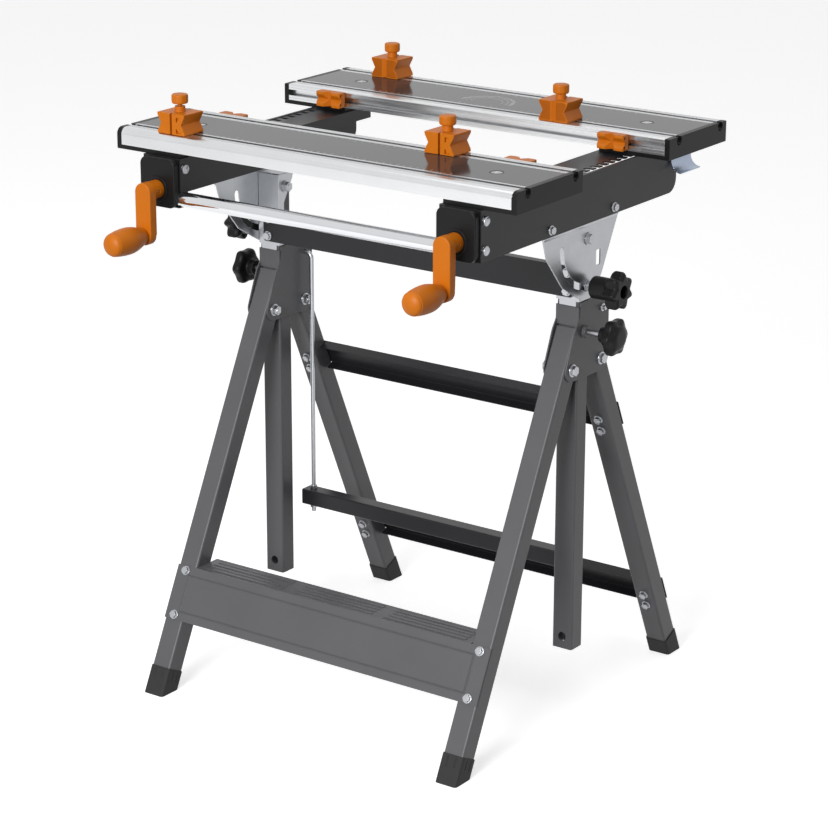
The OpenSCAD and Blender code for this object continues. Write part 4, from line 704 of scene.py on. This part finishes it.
for dog, (x, y) in dogSpots.items():
    facing = 1 if dog.startswith("front") else -1
    turn = Matrix.Rotation(0 if facing > 0 else math.pi, 4, "Z")
    workingFace = Matrix.Translation(Vector((x, y + shift + facing * dogBlock["deep"], dogBase)) * mm) @ turn
    cuts = hatchLines(2 * hatchLook["deep"], workingFace)
    # fill is a thin layer laid in the cut lines; it carries the darker orange of painted shade
    fill = hatchLines(hatchLook["fill"], workingFace)
    mesh = carved(carved(easedCopy("dog_" + dog, dogBlock["ease"]), backPockets(x, y, facing)), cuts)
    addPiece("clamp_dog_" + dog, mesh, "dog_" + dog, "orange_plastic")
    addPiece("hatch_lines_" + dog, fill, "dog_" + dog, "orange_plastic", grooveShadeOrange, replace=False)

# side dogs, with two blind holes in each end
sideDogs = {"front_left": (-239, "front_jaw", 1), "front_right": (212, "front_jaw", 1),
            "rear_left": (-222, "rear_jaw", -1), "rear_right": (228, "rear_jaw", -1)}
sideHoles = {"z": (757, 744.4), "radius": 1.9, "ahead": 11.2, "half": 21, "deep": 4, "corners": 8, "ease": 0.7}
for dog, (x, jaw, facing) in sideDogs.items():
    h, holes = sideHoles, []
    endY = jawFace[jaw] + shift + facing * h["ahead"]
    for side in (-1, 1):
        for z in h["z"]:
            angles = [2 * math.pi * k / h["corners"] for k in range(h["corners"])]
            ring = [(x + side * h["half"], endY + facing * h["radius"] * math.cos(angle), z + h["radius"] * math.sin(angle))
                    for angle in angles]
            holes.append((ring, (-side * h["deep"], 0, 0)))
    mesh = carved(easedCopy("side_dog_" + dog, h["ease"]), meshFrom(prisms(holes), "holes"))
    addPiece("edge_dog_" + dog, mesh, "side_dog_" + dog, "orange_plastic")

# the dogs' screws; the front left one is screwed out a little
dogKnob = {"stud": 3, "head": 10.7, "headHigh": 12, "seat": 34.3, "low": -4.5, "rim": 2.4, "foot": 2, "lobes": 10, "depth": 0.5,
           "lobeFrom": 8.5, "steps": 64, "lift": {"front_left": 3}}
for dog, (x, y) in dogSpots.items():
    k = dogKnob
    seat, top, r = k["seat"], k["seat"] + k["headHigh"], k["head"]
    line = filleted([(0, k["low"], 0), (k["stud"], k["low"], 0), (k["stud"], seat, 0), (r - 0.8, seat, 1.2),
                     (r, seat + k["foot"], 1.5), (r, top, k["rim"]), (0, top, 0)])
    place = at(x, y, dogBase + k["lift"].get(dog, 0))
    mesh = meshFrom(turned(line, k["steps"], k["lobes"], k["depth"], k["lobeFrom"]), "dogScrew", place)
    addPiece("dog_screw_" + dog, mesh, "dog_knob_" + dog, "orange_plastic", crisp=36)
print("dogs and their screws done")

# plain ruler marks along both inlays and a half-circle of angle marks on the rear one
marks = {"thick": 0.06, "sink": 0.09, "width": 0.45}
ruler, inputs = newTree("rulerMarks", {"Count": "Int", "Pitch": "Float", "Width": "Float", "Thick": "Float", "Long": "Float",
                                       "Short": "Float"})
step = addNode(ruler, "ShaderNodeCombineXYZ", X=inputs["Pitch"])
row = addNode(ruler, "GeometryNodeMeshLine", Count=inputs["Count"], Offset=step.outputs[0])
size = addNode(ruler, "ShaderNodeCombineXYZ", X=inputs["Width"], Y=1.0, Z=inputs["Thick"])
mark = addNode(ruler, "GeometryNodeMeshCube", Size=size.outputs[0])
based = addNode(ruler, "GeometryNodeTransform", Geometry=mark.outputs[0], Translation=(0, 0.5, 0))
index = addNode(ruler, "GeometryNodeInputIndex")
fifth = addNode(ruler, "ShaderNodeMath", {"operation": "MODULO"}, i0=index.outputs[0], i1=5.0)
isLong = addNode(ruler, "ShaderNodeMath", {"operation": "LESS_THAN"}, i0=fifth.outputs[0], i1=0.5)
reach = addNode(ruler, "ShaderNodeMix", Factor=isLong.outputs[0], i2=inputs["Short"], i3=inputs["Long"])
stretch = addNode(ruler, "ShaderNodeCombineXYZ", X=1.0, Y=reach.outputs[0], Z=1.0)
laid = addNode(ruler, "GeometryNodeInstanceOnPoints", Points=row.outputs[0], Instance=based.outputs[0], Scale=stretch.outputs[0])
closeTree(ruler, laid.outputs[0], inputs)

dial, inputs = newTree("angleMarks", {"Count": "Int", "Radius": "Float", "Width": "Float", "Thick": "Float", "Long": "Float"})
ring = addNode(dial, "GeometryNodeMeshCircle", Vertices=inputs["Count"], Radius=inputs["Radius"])
where = addNode(dial, "GeometryNodeInputPosition")
split = addNode(dial, "ShaderNodeSeparateXYZ", Vector=where.outputs[0])
behind = addNode(dial, "ShaderNodeMath", {"operation": "LESS_THAN"}, i0=split.outputs["Y"], i1=-0.0001)
halfRing = addNode(dial, "GeometryNodeDeleteGeometry", Geometry=ring.outputs[0], Selection=behind.outputs[0])
size = addNode(dial, "ShaderNodeCombineXYZ", X=inputs["Long"], Y=inputs["Width"], Z=inputs["Thick"])
mark = addNode(dial, "GeometryNodeMeshCube", Size=size.outputs[0])
aim = addNode(dial, "FunctionNodeAlignRotationToVector", {"axis": "X"}, Vector=where.outputs[0])
laid = addNode(dial, "GeometryNodeInstanceOnPoints", Points=halfRing.outputs[0], Instance=mark.outputs[0], Rotation=aim.outputs[0])
rim = addNode(dial, "GeometryNodeCurveArc", {"mode": "RADIUS"}, Resolution=64, Radius=inputs["Radius"], Sweep_Angle=math.pi)
strip = addNode(dial, "GeometryNodeCurvePrimitiveQuadrilateral", Width=inputs["Width"], Height=inputs["Thick"])
arc = addNode(dial, "GeometryNodeCurveToMesh", Curve=rim.outputs[0], Profile_Curve=strip.outputs[0], Fill_Caps=True)
both = addNode(dial, "GeometryNodeJoinGeometry", i0=laid.outputs[0])
dial.links.new(arc.outputs[0], both.inputs[0])
closeTree(dial, both.outputs[0], inputs)

rulerLook = {"count": 39, "pitch": 10, "long": 6, "short": 3.5, "half": 190, "rows": (("front", 34, -1), ("rear", 116, 1))}
for jaw, front in jawFront.items():
    for word, inset, startSide in rulerLook["rows"]:
        mesh = grown(ruler, {"Count": rulerLook["count"], "Pitch": rulerLook["pitch"] * mm, "Width": marks["width"] * mm,
                             "Thick": marks["thick"] * mm, "Long": rulerLook["long"] * mm, "Short": rulerLook["short"] * mm}, paleInk)
        start = Vector((startSide * rulerLook["half"], front + inset + shift, jawTop - marks["sink"])) * mm
        mesh.transform(Matrix.Translation(start) @ Matrix.Rotation(0 if startSide < 0 else math.pi, 4, "Z"))
        addPiece(jaw + "_ruler_" + word, mesh, jaw + "_panel", "panel", paleInk, replace=False)

# radius, length and number of marks on each half-circle
dialLook = {"x": -12, "y": 168, "rings": {"outer": (38, 5, 73), "middle": (31, 3, 37), "inner": (24, 0.5, 13)}}
for word, (radius, markLong, count) in dialLook["rings"].items():
    mesh = grown(dial, {"Count": count * 2 - 2, "Radius": radius * mm, "Width": marks["width"] * mm, "Thick": marks["thick"] * mm,
                        "Long": markLong * mm}, paleInk)
    mesh.transform(Matrix.Translation(Vector((dialLook["x"], dialLook["y"] + shift, jawTop - marks["sink"])) * mm))
    addPiece("angle_marks_" + word, mesh, "rear_jaw_panel", "panel", paleInk, replace=False)
print("inlay marks done")

# pan heads with a cross recess, set on the points of the housing screws
panHead = {"radius": 6.2, "foot": 0.6, "high": 3.6, "steps": 10, "cross": 4.6, "slit": 1.1, "deep": 1.5, "turn": 0.5}
r, foot, tall = panHead["radius"], panHead["foot"], panHead["high"]
dome = [k * math.pi / 2 / panHead["steps"] for k in range(1, panHead["steps"])]
headMesh = meshFrom(turned([(0, -1), (r, -1), (r, foot)] + [(r * math.cos(u), foot + (tall - foot) * math.sin(u)) for u in dome]
                           + [(0, tall)]), "panHead")
c, w, floorZ = panHead["cross"] / 2, panHead["slit"] / 2, tall - panHead["deep"]
cross = prisms([slab(-c, c, -w, w, floorZ, 6), slab(-w, w, -c, c, floorZ - 0.01, 6.1)])
headHolder = bpy.data.objects.new("panHead", carved(headMesh, meshFrom(cross, "cross")))
bpy.context.scene.collection.objects.link(headHolder)
screws, inputs = newTree("screwHeads", {"Head": "Object", "Turn": "Vector"})
source = addNode(screws, "GeometryNodeObjectInfo", Object=inputs["Head"])
heads = addNode(screws, "GeometryNodeInstanceOnPoints", Points=inputs["Geometry"], Instance=source.outputs["Geometry"],
                Rotation=inputs["Turn"])
closeTree(screws, heads.outputs[0], inputs)

# each rail side: how far out it lies, which way its heads face, and their heights
housingScrews = {"y": -235, "outer": (260.6, 1, (683.2, 719.2)), "inner": (199.8, -1, (719.2,))}
for side, word in sides:
    for face in ("outer", "inner"):
        x, outward, heights = housingScrews[face]
        points = bpy.data.meshes.new("screwPoints")
        points.from_pydata([(side * x * mm, (housingScrews["y"] + shift) * mm, z * mm) for z in heights], [], [])
        tilt = (panHead["turn"], side * outward * math.pi / 2, 0)
        mesh = grown(screws, {"Head": headHolder, "Turn": tilt}, finishes["zinc"], points)
        addPiece("housing_screws_" + face + "_" + word, mesh, "top_fasteners", "zinc", replace=False, crisp=30)
bpy.data.objects.remove(headHolder)

# raised ring round each crank hub on the housing's nose
hubRing = {"y": -253, "inner": 13, "outer": 17, "proud": 1.4, "sunk": 1}
# the tilt plate is set in under the rail, and its bend shows as a bright band
plateBend = {"start": -104.5, "long": 172.5,
             "corners": [(258.3, 664.8), (259.2, 665.6), (260.0, 666.9), (260.4, 668.3), (260.4, 669.0), (258.3, 669.0)]}
for side, word in sides:
    h = hubRing
    boss = turned(filleted([(h["inner"], -h["sunk"], 0), (h["outer"], -h["sunk"], 0), (h["outer"], h["proud"], 0.8),
                            (h["inner"], h["proud"], 0.5), (h["inner"], -h["sunk"], 0)]))
    addPiece("hub_ring_" + word, meshFrom(boss, "hubRing", at(side * crank["x"], h["y"], crank["hubZ"], (0, -1, 0))),
             "screw_housing_" + word, "black_plastic", replace=False)
    corners = [(side * x, plateBend["start"] + shift, z) for x, z in plateBend["corners"]]
    addPiece("plate_bend_" + word, meshFrom(prisms([(corners, (0, plateBend["long"], 0))]), "plateBend"),
             "tilt_plate_" + word, "zinc", replace=False, crisp=50)
print("small fasteners and bends done")

# a plain floor and backdrop; to the light that bounces off it the floor is darker than to the camera
stageLook = {"floorHalf": 14.0, "floorColour": "#EDEDED", "bounceColour": "#6A6A6A", "floorRoughness": 0.95, "floorLift": 0.64,
             "backdrop": 1.0, "skyFill": 0.24}


def seenRay(tree):
    # 1 for what the camera sees directly, in a reflection or through glass
    rays = addNode(tree, "ShaderNodeLightPath").outputs
    seen = addNode(tree, "ShaderNodeMath", {"operation": "MAXIMUM"}, i0=rays["Is Camera Ray"], i1=rays["Is Glossy Ray"])
    through = addNode(tree, "ShaderNodeMath", {"operation": "MAXIMUM"}, i0=seen.outputs[0], i1=rays["Is Transmission Ray"])
    return through.outputs[0]


floorFinish, tree, shader = newFinish("matteStudioFloor")[:3]
tone = addNode(tree, "ShaderNodeMix", {"data_type": "RGBA"}, Factor=seenRay(tree),
               i6=linearColour(stageLook["bounceColour"]), i7=linearColour(stageLook["floorColour"]))
tree.links.new(tone.outputs[2], shader.inputs["Base Color"])
shader.inputs["Roughness"].default_value = stageLook["floorRoughness"]
shader.inputs["Emission Color"].default_value = (1, 1, 1, 1)
lift = addNode(tree, "ShaderNodeMath", {"operation": "MULTIPLY"}, i0=seenRay(tree), i1=stageLook["floorLift"])
tree.links.new(lift.outputs[0], shader.inputs["Emission Strength"])
work = bmesh.new()
bmesh.ops.create_grid(work, x_segments=8, y_segments=8, size=stageLook["floorHalf"])
floorPiece = bpy.data.objects.new("floor", meshFrom(work, "floor", outward=False))
bpy.context.scene.collection.objects.link(floorPiece)
floorPiece.data.materials.append(floorFinish)

world = bpy.data.worlds.new("paleStudio")
bpy.context.scene.world = world
world.use_nodes = True
tree = world.node_tree
tree.nodes.clear()
fill = addNode(tree, "ShaderNodeBackground", Color=(1, 1, 1, 1), Strength=stageLook["skyFill"])
backdrop = addNode(tree, "ShaderNodeBackground", Color=(1, 1, 1, 1), Strength=stageLook["backdrop"])
mixed = addNode(tree, "ShaderNodeMixShader", i0=seenRay(tree), i1=fill.outputs[0], i2=backdrop.outputs[0])
addNode(tree, "ShaderNodeOutputWorld", Surface=mixed.outputs[0])

# two soft lamps, both turned towards the middle of the bench
lampAim = (0, 0, 0.4)
lamps = {"keyLamp": {"place": (0.5, -3.6, 1.8), "size": 1.8, "power": 122},
         "topLamp": {"place": (-0.2, -0.3, 3.4), "size": 2.2, "power": 20}}
for name, lampLook in lamps.items():
    lamp = bpy.data.lights.new(name, "AREA")
    lamp.shape, lamp.size, lamp.energy = "DISK", lampLook["size"], lampLook["power"]
    holder = bpy.data.objects.new(name, lamp)
    bpy.context.scene.collection.objects.link(holder)
    holder.location = lampLook["place"]
    holder.rotation_euler = (Vector(lampAim) - Vector(lampLook["place"])).to_track_quat("-Z", "Y").to_euler()

# the photograph's view, solved from its upright and level directions
view = {"azimuth": 0.6175006, "elevation": 0.3157924, "roll": 0.0019229, "distance": 3.69822,
        "target": (0.005092, 0.01738, 0.374327), "focalPixels": 2787.754, "framePixels": 828, "sensorMm": 36}
a, e, roll = view["azimuth"], view["elevation"], view["roll"]
look = Vector((-math.sin(a) * math.cos(e), math.cos(a) * math.cos(e), -math.sin(e)))
right = Vector((math.cos(a), math.sin(a), 0))
up = right.cross(look)
rolledRight = math.cos(roll) * right + math.sin(roll) * up
rolledUp = -math.sin(roll) * right + math.cos(roll) * up
lens = bpy.data.cameras.new("productCamera")
lens.sensor_width = view["sensorMm"]
lens.lens = view["focalPixels"] / view["framePixels"] * view["sensorMm"]
camera = bpy.data.objects.new("productCamera", lens)
bpy.context.scene.collection.objects.link(camera)
turn = Matrix((rolledRight, rolledUp, -look)).transposed()
camera.matrix_world = Matrix.Translation(Vector(view["target"]) - look * view["distance"]) @ turn.to_4x4()
bpy.context.scene.camera = camera
bpy.context.scene.view_settings.view_transform = "Standard"
print("floor, light and camera set")
